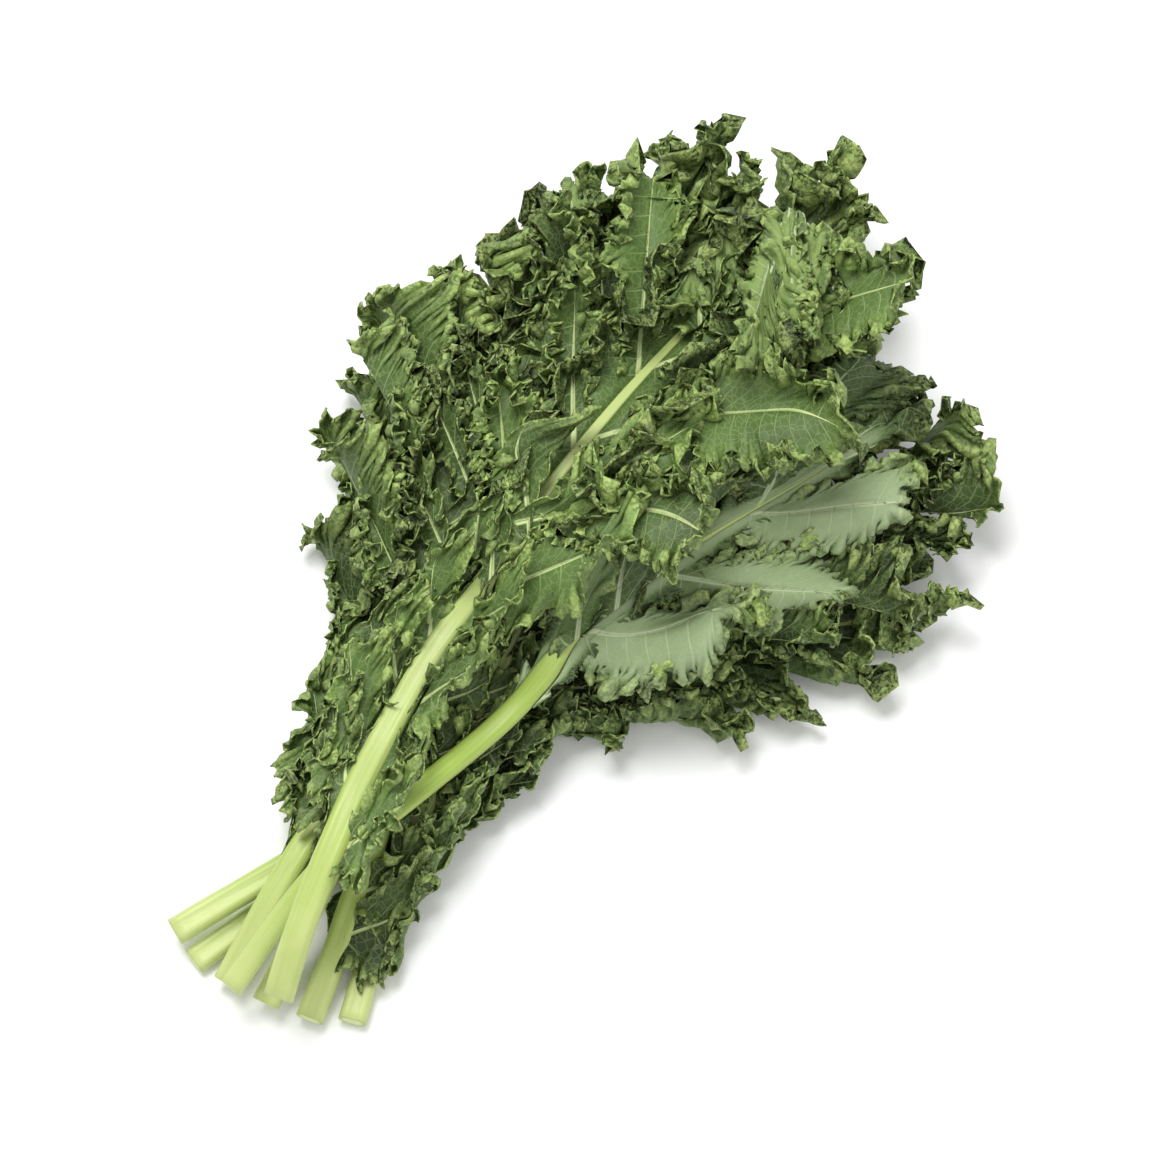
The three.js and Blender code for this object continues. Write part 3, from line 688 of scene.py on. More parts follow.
# Curls and frills a sheet, lays it in the heap and gives it its two faces. The frills are sines along the
# margin, each level displaced along the normals of the one before, and swung sideways so that folds overhang.
def dressSheet(entry, sheet, look):
    out, seed, gap = sheet["out"], sheet["seed"], sheet["gap"]
    points = curlRim(sheet, look["curl"])
    q = np.broadcast_to(out, points.shape[:2])
    s = np.broadcast_to(sheet["margin"][:, None], q.shape)
    reachMm = sheet["reachMm"][:, None]
    outMm = q * reachMm
    small = np.minimum(1, reachMm / look["fullReach"])
    normal = gridFrame(points)[0]
    swell = 1 - np.exp(-((np.minimum(np.abs(gap), 30) / 6) ** 2))
    points = points + normal * (look["pucker"] * swell * smooth(0.03, 0.3, q) * small)[..., None]
    crest = np.zeros(q.shape)
    clump = swirl(seed, 340, s / 48, outMm / 40)
    for k, level in enumerate(look["frills"]):
        normal, tangent = gridFrame(points)
        use = 400 + 40 * k
        grown = smooth(level["begin"], level["full"], q + 0.1 * clump) * small
        phase = 2 * math.pi * s / level["wave"]
        size = 0.85 + 0.4 * swirl(seed, use + 30, s / 30, outMm / 30)
        height = level["height"] * size * grown
        if k == 0 and "ripplePhase" in sheet:
            phase = sheet["ripplePhase"][:, None]
            height = height + sheet["rippleHeight"][:, None] * q**2.5
        phase = phase + level["stray"] * swirl(seed, use, s / level["over"], outMm / level["over"])
        shift = -level["swing"] * size * grown * np.sin(2 * phase)
        points = points + normal * (height * np.sin(phase))[..., None] + tangent * shift[..., None]
        crest = crest + np.sin(phase) * grown * detail["crestShares"][k]
    # Teeth and broader notches: the outer rows move out and in along the way out.
    away = unit(np.gradient(points, axis=1))
    fineWave, coarseWave, notchWave = detail["toothWaves"]
    tooth = wander(seed, 500, s / fineWave, 1.0) + 0.6 * wander(seed, 504, s / coarseWave, 1.0)
    notch = wander(seed, 508, s / notchWave, 1.0)
    step = look["teeth"] * tooth * smooth(0.8, 1, q) + look["notches"] * notch * smooth(0.4, 1, q)
    points = points + away * (step * small)[..., None]
    points[..., 2] += valueAt(entry["lift"], points)
    keep, ease = detail["clearance"], detail["capSoftness"]
    ceiling = valueAt(np.minimum(entry["over"], 900), points) - keep
    points[..., 2] = softCap(points[..., 2], ceiling, ease)
    points[..., 2] = -softCap(-points[..., 2], -valueAt(entry["under"], points) - keep, ease)
    normal = gridFrame(points)[0]
    ridge = np.exp(-((gap / np.maximum(sheet["vein"], 0.05)) ** 2))
    upper = points + normal * (detail["sheet"] / 2 + detail["veinRelief"][0] * ridge)[..., None]
    lower = points - normal * (detail["sheet"] / 2 + detail["veinRelief"][1] * ridge)[..., None]
    vertices = np.concatenate([upper.reshape(-1, 3), lower.reshape(-1, 3)])
    vertices[:, 2] = np.maximum(vertices[:, 2], detail["lowest"])
    both = lambda grid: np.tile(np.broadcast_to(grid, q.shape).reshape(-1), 2)
    marks = {
        "out": both(q), "vein": both(sheet["vein"]),
        "gap": both(np.clip(gap, -40, 40)), "reach": both(sheet["rayMm"]),
        "face": np.repeat([1.0, 0.0], q.size),
        "crest": np.concatenate([crest.reshape(-1), -crest.reshape(-1)]),
        # painted shade with some random tone, for the material
        "paintedShadeAndTone": both(sheet["paintedShadeAndTone"]),
        "bloom": np.full(2 * q.size, entry["leaf"]["bloom"]),
    }
    return vertices, closedSheet(*q.shape), marks


# Half a side vein's width in millimetres: it narrows towards the margin and is gone at it.
def veinHalf(q, width):
    return (detail["veinTip"] + width * np.clip(1 - q, 0, 1) ** 1.2) * smooth(1.0, 0.75, q)


# The blade's length along the midrib, counted square to its side veins.
def bladeLength(entry):
    return entry["carried"]["length"] * (1 - entry["leaf"]["start"]) * math.cos(form["veinSweep"])


# The lobes of one half: where each stands along the blade, how long and how wide it is.
def lobePlans(entry, side):
    leaf = entry["leaf"]
    half = 0 if side > 0 else 1
    count = leaf["lobes"][half]
    bladeMm = bladeLength(entry)
    space = bladeMm * (1 - leaf["leafletShare"]) / count
    plans = []
    for k in range(math.ceil(count)):
        high = (k + 0.5) / count
        if high > lobeForm["lastLobe"]:
            continue
        seed = leaf["seed"] + 0.618 * (k + 1) + 0.25 * half
        at = mix(leaf["leafletShare"], 1, high)
        full = float(reach(leaf, side, np.array([at]), detail["wing"])[0])
        longer = leaf["lobeStretch"][half] * (1 + leaf["lobeTaper"][half] * (1 - 2 * high))
        wide = space * lobeForm["halfWidth"] * leaf["lobeWide"]
        plans.append({
            "seed": seed, "at": at + 0.22 * (draw(seed, 2) - 0.5) * space / bladeMm, "bladeMm": bladeMm,
            "lobeMm": full * longer * (0.93 + 0.12 * draw(seed, 3)),
            "halfWidth": wide * (0.88 + 0.28 * draw(seed, 1)),
            "lean": leaf["lobeLean"][half] + 0.05 * (draw(seed, 4) - 0.5),
            "crossing": leaf["crossing"], "columns": leaf["lobeColumns"][half],
        })
    return plans


# The leaflets of one half: a row along the stalk below the lobes, and the single patches.
def leafletPlans(entry, side):
    leaf = entry["leaf"]
    row = leaf["leafletRow"]
    half = 0 if side > 0 else 1
    plans = []
    for k in range(row["count"][half]):
        seed = leaf["seed"] + 0.377 * (k + 1) + 0.5 + 0.25 * half
        lobeMm = row["mm"][half] * (0.8 + 0.45 * draw(seed, 3))
        high = (k + 0.2 + 0.6 * draw(seed, 2)) / row["count"][half]
        plans.append({
            "seed": seed, "at": mix(row["from"], row["to"], high), "bladeMm": bladeLength(entry),
            "lobeMm": lobeMm, "halfWidth": lobeMm * lobeForm["leafletWidth"], "lean": lobeForm["leafletLean"],
            "crossing": row["crossing"], "columns": lobeForm["leafletColumns"],
        })
    for k, patch in enumerate(leaf["patches"]):
        if patch["side"] == side:
            plans.append({
                "seed": leaf["seed"] + 0.731 * (k + 1), "at": patch["at"], "bladeMm": bladeLength(entry),
                "lobeMm": patch["mm"], "halfWidth": patch["mm"] * patch["wide"],
                "lean": lobeForm["leafletLean"], "crossing": patch["crossing"],
                "face": patch.get("face", leaf["lobeFace"]),
                "columns": int(lobeForm["leafletColumns"] * mix(0.8, 1.6, patch["mm"] / 50)),
            })
    return plans


# The blade's own sheet: one grid from the left half's foot round the tip to the right half's foot.
# Under lobes it stops short of the margin.
def wholeSheet(entry, look):
    leaf, carried = entry["leaf"], entry["carried"]
    out = 1 - (1 - np.linspace(0, 1, look["rows"])) ** look["rowPower"]
    halves = []
    for side in (1, -1):
        along, length = spaceColumns(leaf, carried, side)
        core = np.ones_like(along)
        if leaf["lobed"]:
            high = pastLeaflets(leaf, along)
            grows = smooth(*lobeForm["coreGrows"], high)
            under = mix(leaf["coreShare"], 1, grows)
            core = np.where(high > 0, mix(1, under, smooth(0, 0.06, high)), 1)
        a, q = np.meshgrid(along, out, indexing="ij")
        points = bladeSurface(leaf, carried, side, a, q * core[:, None], fine=True)
        reachMm = fineReach(leaf, side, along) * core
        margin = along if side > 0 else 2 - along
        phase = ripplePhase(leaf, margin)
        # Side veins: each stays on one share of the blade, leaning a little ahead towards the margin. The
        # distance from the nearest changes sign at every vein, so that it passes evenly through 0 there.
        bladeMm = bladeLength(entry)
        leaflets = [leaf["leafletShare"] * (k + 0.5) / leaf["leaflets"] for k in range(leaf["leaflets"])]
        veins = np.array(leaflets + [plan["at"] for plan in lobePlans(entry, side)] + [0.93])
        past = a[..., None] - veins - detail["veinLean"] * q[..., None] ** 2
        away = np.abs(past).min(axis=-1) * bladeMm * (1 - 2 * ((past > 0).sum(axis=-1) % 2))
        halves.append([points, length, reachMm, phase, rippleHeight(leaf, margin, reachMm), away])
    halves[1][1] = halves[0][1][-1] + halves[1][1][-1] - halves[1][1]
    points, length, reachMm, phase, ripple, gap = [np.concatenate([x, y[-2::-1]]) for x, y in zip(*halves)]
    q = np.broadcast_to(out, gap.shape)
    return {
        "points": points, "out": out, "margin": length, "reachMm": reachMm, "ripplePhase": phase,
        "rippleHeight": ripple, "gap": gap, "rayMm": q * reachMm[:, None],
        "vein": veinHalf(q, detail["veinWidth"][0]) * leaf["veinShare"],
        "seed": leaf["seed"], "curlShare": leaf["curlShare"],
        # Painted shade: the leaf's darkness, and on lobed leaves the blade darkens outwards under its lobes.
        "paintedShadeAndTone": leaf["paintedShadeAndTone"] + (lobeForm["coreShade"] * smooth(0.1, 0.7, q) if leaf["lobed"] else 0),
    }


# One lobe: a spoon-shaped sheet that lies over the blade along a side vein. Its outline is an oblong with a
# narrow foot: across goes with the cosine, and along with a power of the sine.
def lobeSheet(entry, look, side, plan):
    leaf, carried = entry["leaf"], entry["carried"]
    seed, lobeMm, halfWidth, bladeMm = plan["seed"], plan["lobeMm"], plan["halfWidth"], plan["bladeMm"]
    theta = np.linspace(0, math.pi, 500)[:: 1 if side > 0 else -1]
    lengthwise = np.sin(theta) ** lobeForm["roundness"]
    u = mix(lobeForm["foot"], 1, lengthwise) * lobeMm
    v = -np.cos(theta) * halfWidth * mix(lobeForm["footWidth"], 1, smooth(0, 0.6, lengthwise))
    length = np.concatenate([[0], np.cumsum(np.hypot(np.diff(u), np.diff(v)))])
    margin = np.linspace(0, length[-1], plan["columns"])
    u, v = np.interp(margin, length, u), np.interp(margin, length, v)
    out = 1 - (1 - np.linspace(0, 1, look["rows"])) ** look["rowPower"]
    foot = lobeForm["foot"] * lobeMm
    innerU = foot + (u - foot) * (1 - lobeForm["lean"])
    gridU = mix(innerU[:, None], u[:, None], out)
    gridV = v[:, None] * out
    share = gridU / lobeMm
    lowest = lobeForm["cutEnd"] - leaf["start"] / (1 - leaf["start"])
    a = np.clip(plan["at"] + plan["lean"] * share**2 + gridV / bladeMm, lowest, 0.999)
    crossing = plan["crossing"] * (1 - smooth(0, 0.5, share))
    q = share - crossing / lobeMm
    surface = lambda da, dq: bladeSurface(leaf, carried, side, a + da, q + dq, fine=True, lobeMm=lobeMm)
    small = 1e-3
    ahead, outward = surface(small, 0) - surface(-small, 0), surface(0, small) - surface(0, -small)
    normal = side * unit(np.cross(ahead, outward))
    arch = mix(*lobeForm["arch"], draw(seed, 5)) * smooth(0.1, 1, share)
    height = lobeForm["float"] + lobeForm["tilt"] * gridV / halfWidth + arch
    face = plan.get("face", leaf["lobeFace"])
    height = height * smooth(0, 0.25, share) * face + lobeForm["spoon"] * out**2 * share
    height = height + lobeForm["crossingLift"] * crossing * face
    # Painted shade: the leaf's darkness, more for one half where set, and more at the lobe's foot, with a
    # random step per lobe as tone.
    paintedShadeAndTone = leaf["paintedShadeAndTone"] + leaf["halfPaintedShadeAndTone"][0 if side > 0 else 1]
    return {
        "points": surface(0, 0) + normal * height[..., None], "out": out, "margin": margin, "gap": gridV,
        "rayMm": gridU, "reachMm": np.hypot(u - innerU, v),
        "vein": veinHalf(share, detail["veinWidth"][1]) * leaf["veinShare"],
        "seed": seed, "curlShare": leaf["curlShare"],
        "paintedShadeAndTone": paintedShadeAndTone + 0.5 * (draw(seed, 7) - 0.5) + lobeForm["footShade"] * smooth(0.4, 0.05, share),
    }


# Joins sheets into one mesh's vertices, faces and marks.
def joinSheets(sheets):
    starts = np.cumsum([0] + [len(vertices) for vertices, faces, marks in sheets])
    vertices = np.concatenate([sheet[0] for sheet in sheets])
    faces = np.concatenate([sheet[1] + start for sheet, start in zip(sheets, starts)])
    marks = {key: np.concatenate([sheet[2][key] for sheet in sheets]) for key in sheets[0][2]}
    return vertices, faces, marks


# A leaf's fine blade: its own sheet, then lobes and leaflets half by half, as one piece.
def makeBlade(entry):
    leaf = entry["leaf"]
    look = coreLook if leaf["lobed"] else wholeLook
    sheets = [dressSheet(entry, wholeSheet(entry, look), look)]
    for side in (1, -1):
        for plan in lobePlans(entry, side) if leaf["lobed"] else []:
            sheets.append(dressSheet(entry, lobeSheet(entry, lobeLook, side, plan), lobeLook))
        for plan in leafletPlans(entry, side):
            sheets.append(dressSheet(entry, lobeSheet(entry, leafletLook, side, plan), leafletLook))
    piece = addMesh(f"{leaf['name']}_blade_fine", *joinSheets(sheets))
    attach(piece, "root")
    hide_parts(f"{leaf['name']}_blade")
    say(f"{piece.name}: {2 * len(piece.data.polygons)} triangles")
    return piece


# The faces of a closed sheet over two grids: both faces, and a wall round the edge.
def closedSheet(columns, rows):
    index = np.arange(columns * rows).reshape(columns, rows)
    low = index + columns * rows
    quads = lambda g: np.stack([g[:-1, :-1], g[1:, :-1], g[1:, 1:], g[:-1, 1:]], -1).reshape(-1, 4)
    ring = np.concatenate([index[:, 0], index[-1, 1:], index[-2::-1, -1], index[0, -2:0:-1]])
    ringLow = np.concatenate([low[:, 0], low[-1, 1:], low[-2::-1, -1], low[0, -2:0:-1]])
    wall = np.stack([np.roll(ring, -1), ring, ringLow, np.roll(ringLow, -1)], -1)
    return np.concatenate([quads(index), quads(low)[:, ::-1], wall])


# A mesh object from vertices in millimetres, quads, and a float value per vertex for each mark.
def addMesh(name, vertices, faces, marks):
    mesh = bpy.data.meshes.new(name)
    placed = (vertices + np.array(form["toOrigin"])) * 0.001
    mesh.vertices.add(len(placed))
    mesh.vertices.foreach_set("co", placed.astype(np.float32).ravel())
    mesh.loops.add(faces.size)
    mesh.loops.foreach_set("vertex_index", faces.astype(np.int32).ravel())
    mesh.polygons.add(len(faces))
    mesh.polygons.foreach_set("loop_start", np.arange(0, faces.size, 4, dtype=np.int32))
    mesh.update(calc_edges=True)
    mesh.validate()
    for key, values in marks.items():
        mesh.attributes.new(key, "FLOAT", "POINT").data.foreach_set("value", values.astype(np.float32))
    mesh.polygons.foreach_set("use_smooth", np.ones(len(mesh.polygons), bool))
    piece = bpy.data.objects.new(name, mesh)
    bpy.context.scene.collection.objects.link(piece)
    return piece


# Fine stalks

stalkDetail = {
    "sides": 24,
    "rings": 90,
    "squareness": 2.5,  # of the section, which is a superellipse
    "groove": 0.3,  # depth of the channel on the upper side
    "grooveWidth": 0.38,
    "ribs": 0.018,  # lengthwise ribs, as a share of the radius
    "lumps": 0.035,
    "sinkIn": 0.3,  # how far the midrib's middle lies under the blade
    "flare": 1.04,
    "cutBack": 0.008,  # how far inside the CAD model's cut end it stops, as a share of the length
}


# A leaf's fine stalk: rings of a superellipse carried along the midrib, with a channel, ribs and lumps. The
# first rings lie in the cut end and dome it a little.
def makeStalk(entry):
    leaf, carried, lift = entry["leaf"], entry["carried"], entry["lift"]
    seed = leaf["seed"]
    end = leaf["start"] + (1 - leaf["start"]) * detail["ribEnd"]
    back = stalkDetail["cutBack"]
    capSizes = [0.02, 0.3, 0.6, 0.85, 0.97]
    rings = np.linspace(back, end, stalkDetail["rings"])
    share = np.concatenate([np.full(len(capSizes), back), rings, [end]])
    size = np.concatenate([capSizes, np.ones(stalkDetail["rings"]), [0.05]])
    dome = np.concatenate([[0.5, 0.45, 0.4, 0.2, 0.05], np.zeros(stalkDetail["rings"] + 1)])
    angle = np.arange(stalkDetail["sides"]) * 2 * math.pi / stalkDetail["sides"]
    t, theta = np.meshgrid(share, angle, indexing="ij")
    place, ahead, left, up = frameAt(carried, t)
    along = (t - leaf["start"]) / (1 - leaf["start"])
    half = fineHalfStalk(leaf, along) * leaf["stalkShare"]
    half = half * (1 + leaf["swollen"] * smooth(0, 0.3, along) * smooth(0.5, 0.36, along))
    half = half * mix(stalkDetail["flare"], 1, smooth(0, form["flareShare"], t)) * size[:, None]
    power = 2 / stalkDetail["squareness"]
    across = np.sign(np.cos(theta)) * np.abs(np.cos(theta)) ** power
    high = np.sign(np.sin(theta)) * np.abs(np.sin(theta)) ** power * 0.9
    high = high - stalkDetail["groove"] * np.exp(-((across / stalkDetail["grooveWidth"]) ** 2)) * (high > 0)
    alongMm = t * carried["length"]
    rib = 1 + stalkDetail["ribs"] * np.sin(9 * theta + 0.02 * alongMm) * smooth(0, 0.1, size)[:, None]
    around = wander(seed, 704, theta / (2 * math.pi), 1.0)
    lump = 1 + stalkDetail["lumps"] * wander(seed, 700, alongMm / 55, 1.0) * around
    radius = half * rib * lump
    sink = stalkDetail["sinkIn"] * half * form["depthShare"] * smooth(0, 0.15, along)
    points = place - left * (-across * radius)[..., None]
    points = points + up * (high * radius * form["depthShare"] - sink)[..., None]
    cutEnd = dome[:, None] * -1.2 + 0.6 * (1 - size[:, None]) * (dome[:, None] > 0)
    points = points + ahead * cutEnd[..., None]
    points = foldBack(carried, points)
    points[..., 2] += valueAt(lift, points)
    points[..., 2] = np.maximum(points[..., 2], detail["lowest"])
    rows, sides = t.shape
    index = np.arange(rows * sides).reshape(rows, sides)
    nextSide = np.roll(index, -1, axis=1)
    quads = np.stack([index[:-1], index[1:], nextSide[1:], nextSide[:-1]], -1).reshape(-1, 4)
    caps = []
    for row, turned in ((index[0], False), (index[-1], True)):
        for k in range(1, sides // 2):
            quad = [row[k - 1], row[k], row[sides - k - 1], row[sides - k]]
            caps.append(quad[::-1] if turned else quad)
    faces = np.concatenate([quads, np.array(caps)])
    cut = np.broadcast_to((dome > 0)[:, None] * (size < 0.99)[:, None], t.shape)
    marks = {
        "cut": cut.reshape(-1).astype(float), "radius": np.broadcast_to(size[:, None], t.shape).reshape(-1),
        "share": along.reshape(-1), "alongMm": alongMm.reshape(-1), "across": across.reshape(-1),
        "high": high.reshape(-1),
    }
    piece = addMesh(f"{leaf['name']}_stalk_fine", points.reshape(-1, 3), faces, marks)
    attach(piece, "root")
    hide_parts(f"{leaf['name']}_stalk")
    return piece


# Materials

# One socket of a shader tree, so that shader maths reads as plain expressions.
class Wire:
    def __init__(self, shader, socket):
        self.shader = shader
        self.socket = socket

    def math(self, operation, *others):
        return self.shader.node("ShaderNodeMath", {"operation": operation}, dict(enumerate((self,) + others)))

    def __add__(self, other):
        return self.math("ADD", other)

    def __radd__(self, other):
        return self.math("ADD", other)

    def __sub__(self, other):
        return self.math("SUBTRACT", other)

    def __rsub__(self, other):
        return self.shader.node("ShaderNodeMath", {"operation": "SUBTRACT"}, {0: other, 1: self})

    def __mul__(self, other):
        return self.math("MULTIPLY", other)

    def __rmul__(self, other):
        return self.math("MULTIPLY", other)

    def __truediv__(self, other):
        return self.math("DIVIDE", other)

    def __abs__(self):
        return self.math("ABSOLUTE")

    def least(self, other):
        return self.math("MINIMUM", other)

    def most(self, other):
        return self.math("MAXIMUM", other)

    # From 0 to 1 as the value goes from low to high, eased at both ends.
    def ease(self, low, high):
        settings = {"interpolation_type": "SMOOTHSTEP"}
        return self.shader.node("ShaderNodeMapRange", settings, {0: self, 1: low, 2: high, 3: 0.0, 4: 1.0})


class Shader:
    def __init__(self, name):
        self.material = bpy.data.materials.new(name)
        self.material.use_nodes = True
        self.tree = self.material.node_tree
        self.surface = self.tree.nodes["Principled BSDF"]

    # A node of that type, its settings first, then values or wires on its inputs. Gives one of its outputs.
    def node(self, kind, settings=None, inputs=None, output=0):
        made = self.tree.nodes.new(kind)
        for key, value in (settings or {}).items():
            setattr(made, key, value)
        for key, value in (inputs or {}).items():
            if isinstance(value, Wire):
                self.tree.links.new(value.socket, made.inputs[key])
            else:
                made.inputs[key].default_value = value
        return Wire(self, made.outputs[output])

    # A mesh's own value of that name.
    def mark(self, name):
        return self.node("ShaderNodeAttribute", {"attribute_name": name}, output=2)

    def place(self):
        return self.node("ShaderNodeTexCoord", output=3)

    def blend(self, first, second, factor):
        inputs = {0: factor, 6: colour(first), 7: colour(second)}
        return self.node("ShaderNodeMix", {"data_type": "RGBA"}, inputs, output=2)

    def noise(self, vector, scale, rough=0.5, fine=3.0):
        inputs = {"Vector": vector, "Scale": scale, "Detail": fine, "Roughness": rough}
        return self.node("ShaderNodeTexNoise", {}, inputs)

    def cellEdges(self, vector, scale):
        settings = {"feature": "DISTANCE_TO_EDGE"}
        return self.node("ShaderNodeTexVoronoi", settings, {"Vector": vector, "Scale": scale})

    def feed(self, name, value):
        if isinstance(value, Wire):
            self.tree.links.new(value.socket, self.surface.inputs[name])
        else:
            self.surface.inputs[name].default_value = value

    def bump(self, height, strength, distance):
        return self.node("ShaderNodeBump", {}, {"Strength": strength, "Distance": distance, "Height": height})


# A colour given as screen values from 0 to 255, as the linear values a shader takes.
def colour(value):
    if isinstance(value, Wire):
        return value
    linear = [((c / 255 + 0.055) / 1.055) ** 2.4 if c > 10 else c / 255 / 12.92 for c in value]
    return (*linear, 1.0)


bladeLook = {
    # Painted shade green: the dark colour that stands in for shade under and between leaves and in frill
    # hollows.
    "deep": (26, 41, 15),
    "inner": (90, 116, 58),
    "frill": (132, 161, 82),
    # Painted highlight green, laid on frill crests and the outer rim.
    "edge": (188, 208, 122),
    "under": (150, 168, 126),
    "underPlain": (130, 152, 84),
    "underFrill": (112, 138, 72),
    "vein": (196, 212, 146),
    "underVein": (184, 198, 156),
    "roughness": 0.5,
    "specular": 0.28,
    "bump": (0.55, 0.0012),  # strength and distance
    "webSpacing": 7.5,  # millimetres between secondary veins
    "patchScale": 32.0,
    "fineScale": 260.0,
    # fine noise that breaks up the painted shade and highlight on the frills
    "shadeAndHighlightNoiseScale": 560.0,
    "meshScale": 330.0,
    "blisterScale": 150.0,
    "crimpScale": 480.0,
}


# Both faces go from the inner to the frilled colour, take painted shade by the leaf's darkness and in the
# frills' hollows, and a painted highlight at crests and on the rim; veins are lighter. The under face is
# greyer by its bloom.
def bladeMaterial():
    look = bladeLook
    shader = Shader("kale_blade")
    place = shader.place()
    out = shader.mark("out")
    face = shader.mark("face")
    gap = abs(shader.mark("gap"))
    vein = (gap / shader.mark("vein").most(0.02)).ease(1.15, 0.55)
    crest = shader.mark("crest")
    paintedShadeAndTone = shader.mark("paintedShadeAndTone")
    patch = shader.noise(place, look["patchScale"])
    fine = shader.noise(place, look["fineScale"], 0.6)
    frilled = out.ease(0.4, 0.92)
    upper = shader.blend(look["inner"], look["frill"], frilled)
    # Painted shade: the leaf's darkness number, with random patches, pulls the upper face towards the shade
    # green.
    upper = shader.blend(upper, look["deep"], (paintedShadeAndTone * 0.72 + (patch - 0.5) * 1.2).most(0.0).least(1.0))
    # Painted shade in the frills' hollows, where the crest mark is low, and in dark flecks of fine noise.
    shadeAndHighlightNoise = shader.noise(place, look["shadeAndHighlightNoiseScale"], 0.65, 2.0).ease(0.42, 0.6)
    hollowShade = (0.0 - crest).ease(0.0, 0.7) * frilled * 0.8
    hollowShade = hollowShade.most((1.0 - shadeAndHighlightNoise) * frilled * 0.45)
    upper = shader.blend(upper, look["deep"], hollowShade)
    # Painted highlight: frill crests and the outer rim are lightened towards the pale edge green where the
    # fine noise is high.
    lit = (crest.ease(0.0, 0.8) * frilled * (shadeAndHighlightNoise * 0.4 + 0.3)).most(out.ease(0.8, 1.0) * shadeAndHighlightNoise * 0.6)
    upper = shader.blend(upper, look["edge"], lit)
    # Secondary veins: lines that leave a side vein at an even spacing and lean outwards.
    lean = shader.mark("reach") - gap * 0.9 + (patch - 0.5) * 5.0
    turns = lean / look["webSpacing"]
    line = abs((turns - turns.math("FLOOR")) - 0.5) * 2.0
    web = line.ease(0.86, 1.0) * gap.ease(14.0, 2.0) * out.ease(0.95, 0.5) * 0.55
    mesh = shader.cellEdges(place, look["meshScale"]).ease(0.08, 0.0) * 0.16
    upper = shader.blend(upper, look["vein"], (vein * 0.95).most(web * 0.6).most(mesh).least(1.0))
    grey = shader.mark("bloom")
    under = shader.blend(look["underPlain"], look["under"], grey)
    under = shader.blend(under, look["underFrill"], frilled * (0.85 - grey * 0.45))
    # The under face takes the same painted shade and painted highlight, with random patches.
    shaded = (paintedShadeAndTone.ease(0.4, 1.0) * 0.8 + (patch - 0.45) * 1.3).most(0.0).least(1.0)
    under = shader.blend(under, look["inner"], shaded)
    under = shader.blend(under, look["deep"], (hollowShade + paintedShadeAndTone.ease(0.7, 1.2) * 0.5).least(1.0))
    under = shader.blend(under, look["edge"], lit * 0.8)
    under = shader.blend(under, look["underVein"], (vein * 0.9).most(web).most(mesh).least(1.0))
    shader.feed("Base Color", shader.blend(under, upper, face))
    shader.feed("Roughness", (fine - 0.5) * 0.2 + look["roughness"] + (1.0 - face) * 0.14)
    blister = shader.noise(place, look["blisterScale"], 0.5)
    crimp = shader.noise(place, look["crimpScale"], 0.55, 2.0)
    height = blister * 0.7 + fine * 0.25 - (web + mesh) * 0.5 + crimp * frilled * 1.1
    shader.feed("Normal", shader.bump(height, *look["bump"]))
    shader.feed("Specular IOR Level", look["specular"])
    return shader.material


stalkLook = {
    "base": (206, 214, 150),
    "plain": (173, 191, 103),
    "side": (152, 180, 74),
    "rib": (186, 200, 128),
    "pith": (216, 222, 170),
    "ring": (168, 190, 100),
    "roughness": 0.4,
    "specular": 0.4,
    "bump": (0.4, 0.0008),  # strength and distance
    "streakScale": 1.6,
    "patchScale": 45.0,
    "grainScale": 600.0,
}


# Lengthwise streaks from plain to side green, with painted shade that turns the lower half towards the side
# green too, paler towards the cut end and in the midrib, with pith and a ring on the cut face.
def stalkMaterial():
    look = stalkLook
    shader = Shader("kale_stalk")
    place = shader.place()
    share = shader.mark("share")
    alongMm = shader.mark("alongMm")
    across = shader.mark("across")
    high = shader.mark("high")
    cut = shader.mark("cut")
    radius = shader.mark("radius")
    streakAt = shader.node("ShaderNodeCombineXYZ", {}, {0: across * 3.0, 1: high * 3.0, 2: alongMm * 0.02})
    streak = shader.noise(streakAt, look["streakScale"], 0.6)
    patch = shader.noise(place, look["patchScale"])
    # Painted shade: the lower half of the stalk is turned towards the side green, on top of the streaks.
    streakAndLowerShade = (streak.ease(0.42, 0.7) * 0.75 + (0.0 - high).ease(0.0, 0.9) * 0.5).least(1.0)
    skin = shader.blend(look["plain"], look["side"], streakAndLowerShade)
    skin = shader.blend(skin, look["base"], alongMm.ease(70.0, 0.0) * 0.6)
    skin = shader.blend(skin, look["rib"], share.ease(0.0, 0.25) * 0.8)
    skin = shader.blend(skin, look["side"], patch.ease(0.5, 0.8) * 0.35)
    cutFace = shader.blend(look["pith"], look["ring"], radius.ease(0.55, 0.95))
    shader.feed("Base Color", shader.blend(skin, cutFace, cut))
    shader.feed("Roughness", streak * 0.2 + look["roughness"] - 0.1 + cut * 0.2)
    height = streak * 0.6 + shader.noise(place, look["grainScale"]) * 0.2
    shader.feed("Normal", shader.bump(height, *look["bump"]))
    shader.feed("Specular IOR Level", look["specular"])
    return shader.material


# Build

stacked = stackLeaves()
say("leaves stacked")
bladeSkin = bladeMaterial()
stalkSkin = stalkMaterial()
for entry in stacked:
    makeBlade(entry).data.materials.append(bladeSkin)
    makeStalk(entry).data.materials.append(stalkSkin)
    say(f"{entry['leaf']['name']} made")

# Table, light and camera

stageLook = {
    "floor": (252, 252, 252),
    "world": 0.6,
    "key": {"power": 42.0, "size": 1.1, "from": (0.34, 0.68, 2.08)},
    "fill": {"power": 5.0, "size": 1.6, "from": (-0.5, -0.9, 1.4)},
    "azimuth": -57.5,
    "elevation": 68.0,
    "lens": 135.0,
    "sensor": 36.0,
    "viewWidth": 0.4563,  # metres across the picture at the middle of the bunch
    "aim": (0.0111, 0.0062, 0.0),
}


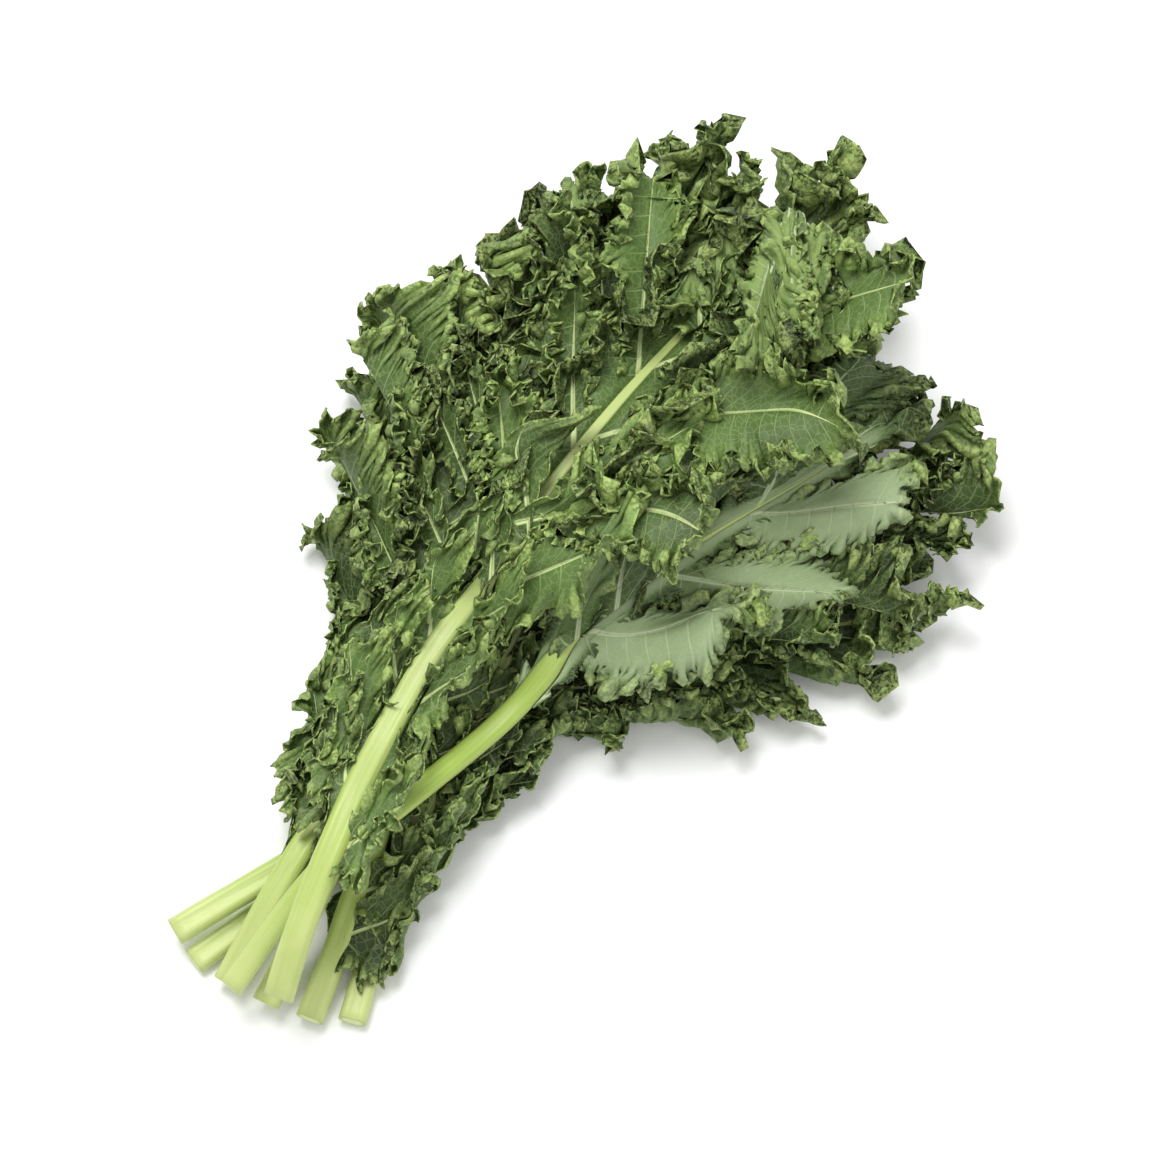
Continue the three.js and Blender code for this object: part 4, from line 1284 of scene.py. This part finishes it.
# A square lamp that points at the middle of the bunch.
def addLight(name, values):
    light = bpy.data.lights.new(name, "AREA")
    light.energy = values["power"]
    light.size = values["size"]
    holder = bpy.data.objects.new(name, light)
    bpy.context.scene.collection.objects.link(holder)
    holder.location = values["from"]
    back = np.array(values["from"])
    holder.rotation_euler = aimedBack(back / np.linalg.norm(back)).to_euler()
    holder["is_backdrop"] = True
    return holder


# The turn that points an object's -Z away from the given way back.
def aimedBack(back):
    return Vector(back).to_track_quat("Z", "Y")


# A white table, two lamps, an even world and the camera. Its distance is the view's width times lens over
# sensor.
def buildStage():
    look = stageLook
    mesh = bpy.data.meshes.new("table")
    mesh.from_pydata([(-3, -3, 0), (3, -3, 0), (3, 3, 0), (-3, 3, 0)], [], [(0, 1, 2, 3)])
    table = bpy.data.objects.new("table", mesh)
    bpy.context.scene.collection.objects.link(table)
    white = Shader("table_white")
    white.feed("Base Color", colour(look["floor"]))
    white.feed("Roughness", 0.9)
    white.feed("Specular IOR Level", 0.0)
    mesh.materials.append(white.material)
    table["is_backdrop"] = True
    addLight("key", look["key"])
    addLight("fill", look["fill"])
    world = bpy.data.worlds.new("studio")
    world.use_nodes = True
    world.node_tree.nodes["Background"].inputs["Color"].default_value = (1, 1, 1, 1)
    world.node_tree.nodes["Background"].inputs["Strength"].default_value = look["world"]
    bpy.context.scene.world = world
    a = look["azimuth"] * degrees
    e = look["elevation"] * degrees
    back = np.array([math.sin(a) * math.cos(e), -math.cos(a) * math.cos(e), math.sin(e)])
    camera = bpy.data.cameras.new("camera")
    camera.lens = look["lens"]
    camera.sensor_width = look["sensor"]
    camera.clip_end = 20
    holder = bpy.data.objects.new("camera", camera)
    bpy.context.scene.collection.objects.link(holder)
    distance = look["viewWidth"] * look["lens"] / look["sensor"]
    holder.location = np.array(look["aim"]) + back * distance
    holder.rotation_euler = aimedBack(back).to_euler()
    bpy.context.scene.camera = holder
    bpy.context.scene.view_settings.view_transform = "Standard"


buildStage()
say("stage set")

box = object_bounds()
sizes = {"cad": [list(corner) for corner in cadBox], "visual": [list(corner) for corner in box]}
say(f"cad box {sizes['cad']}")
say(f"visual box {sizes['visual']}")
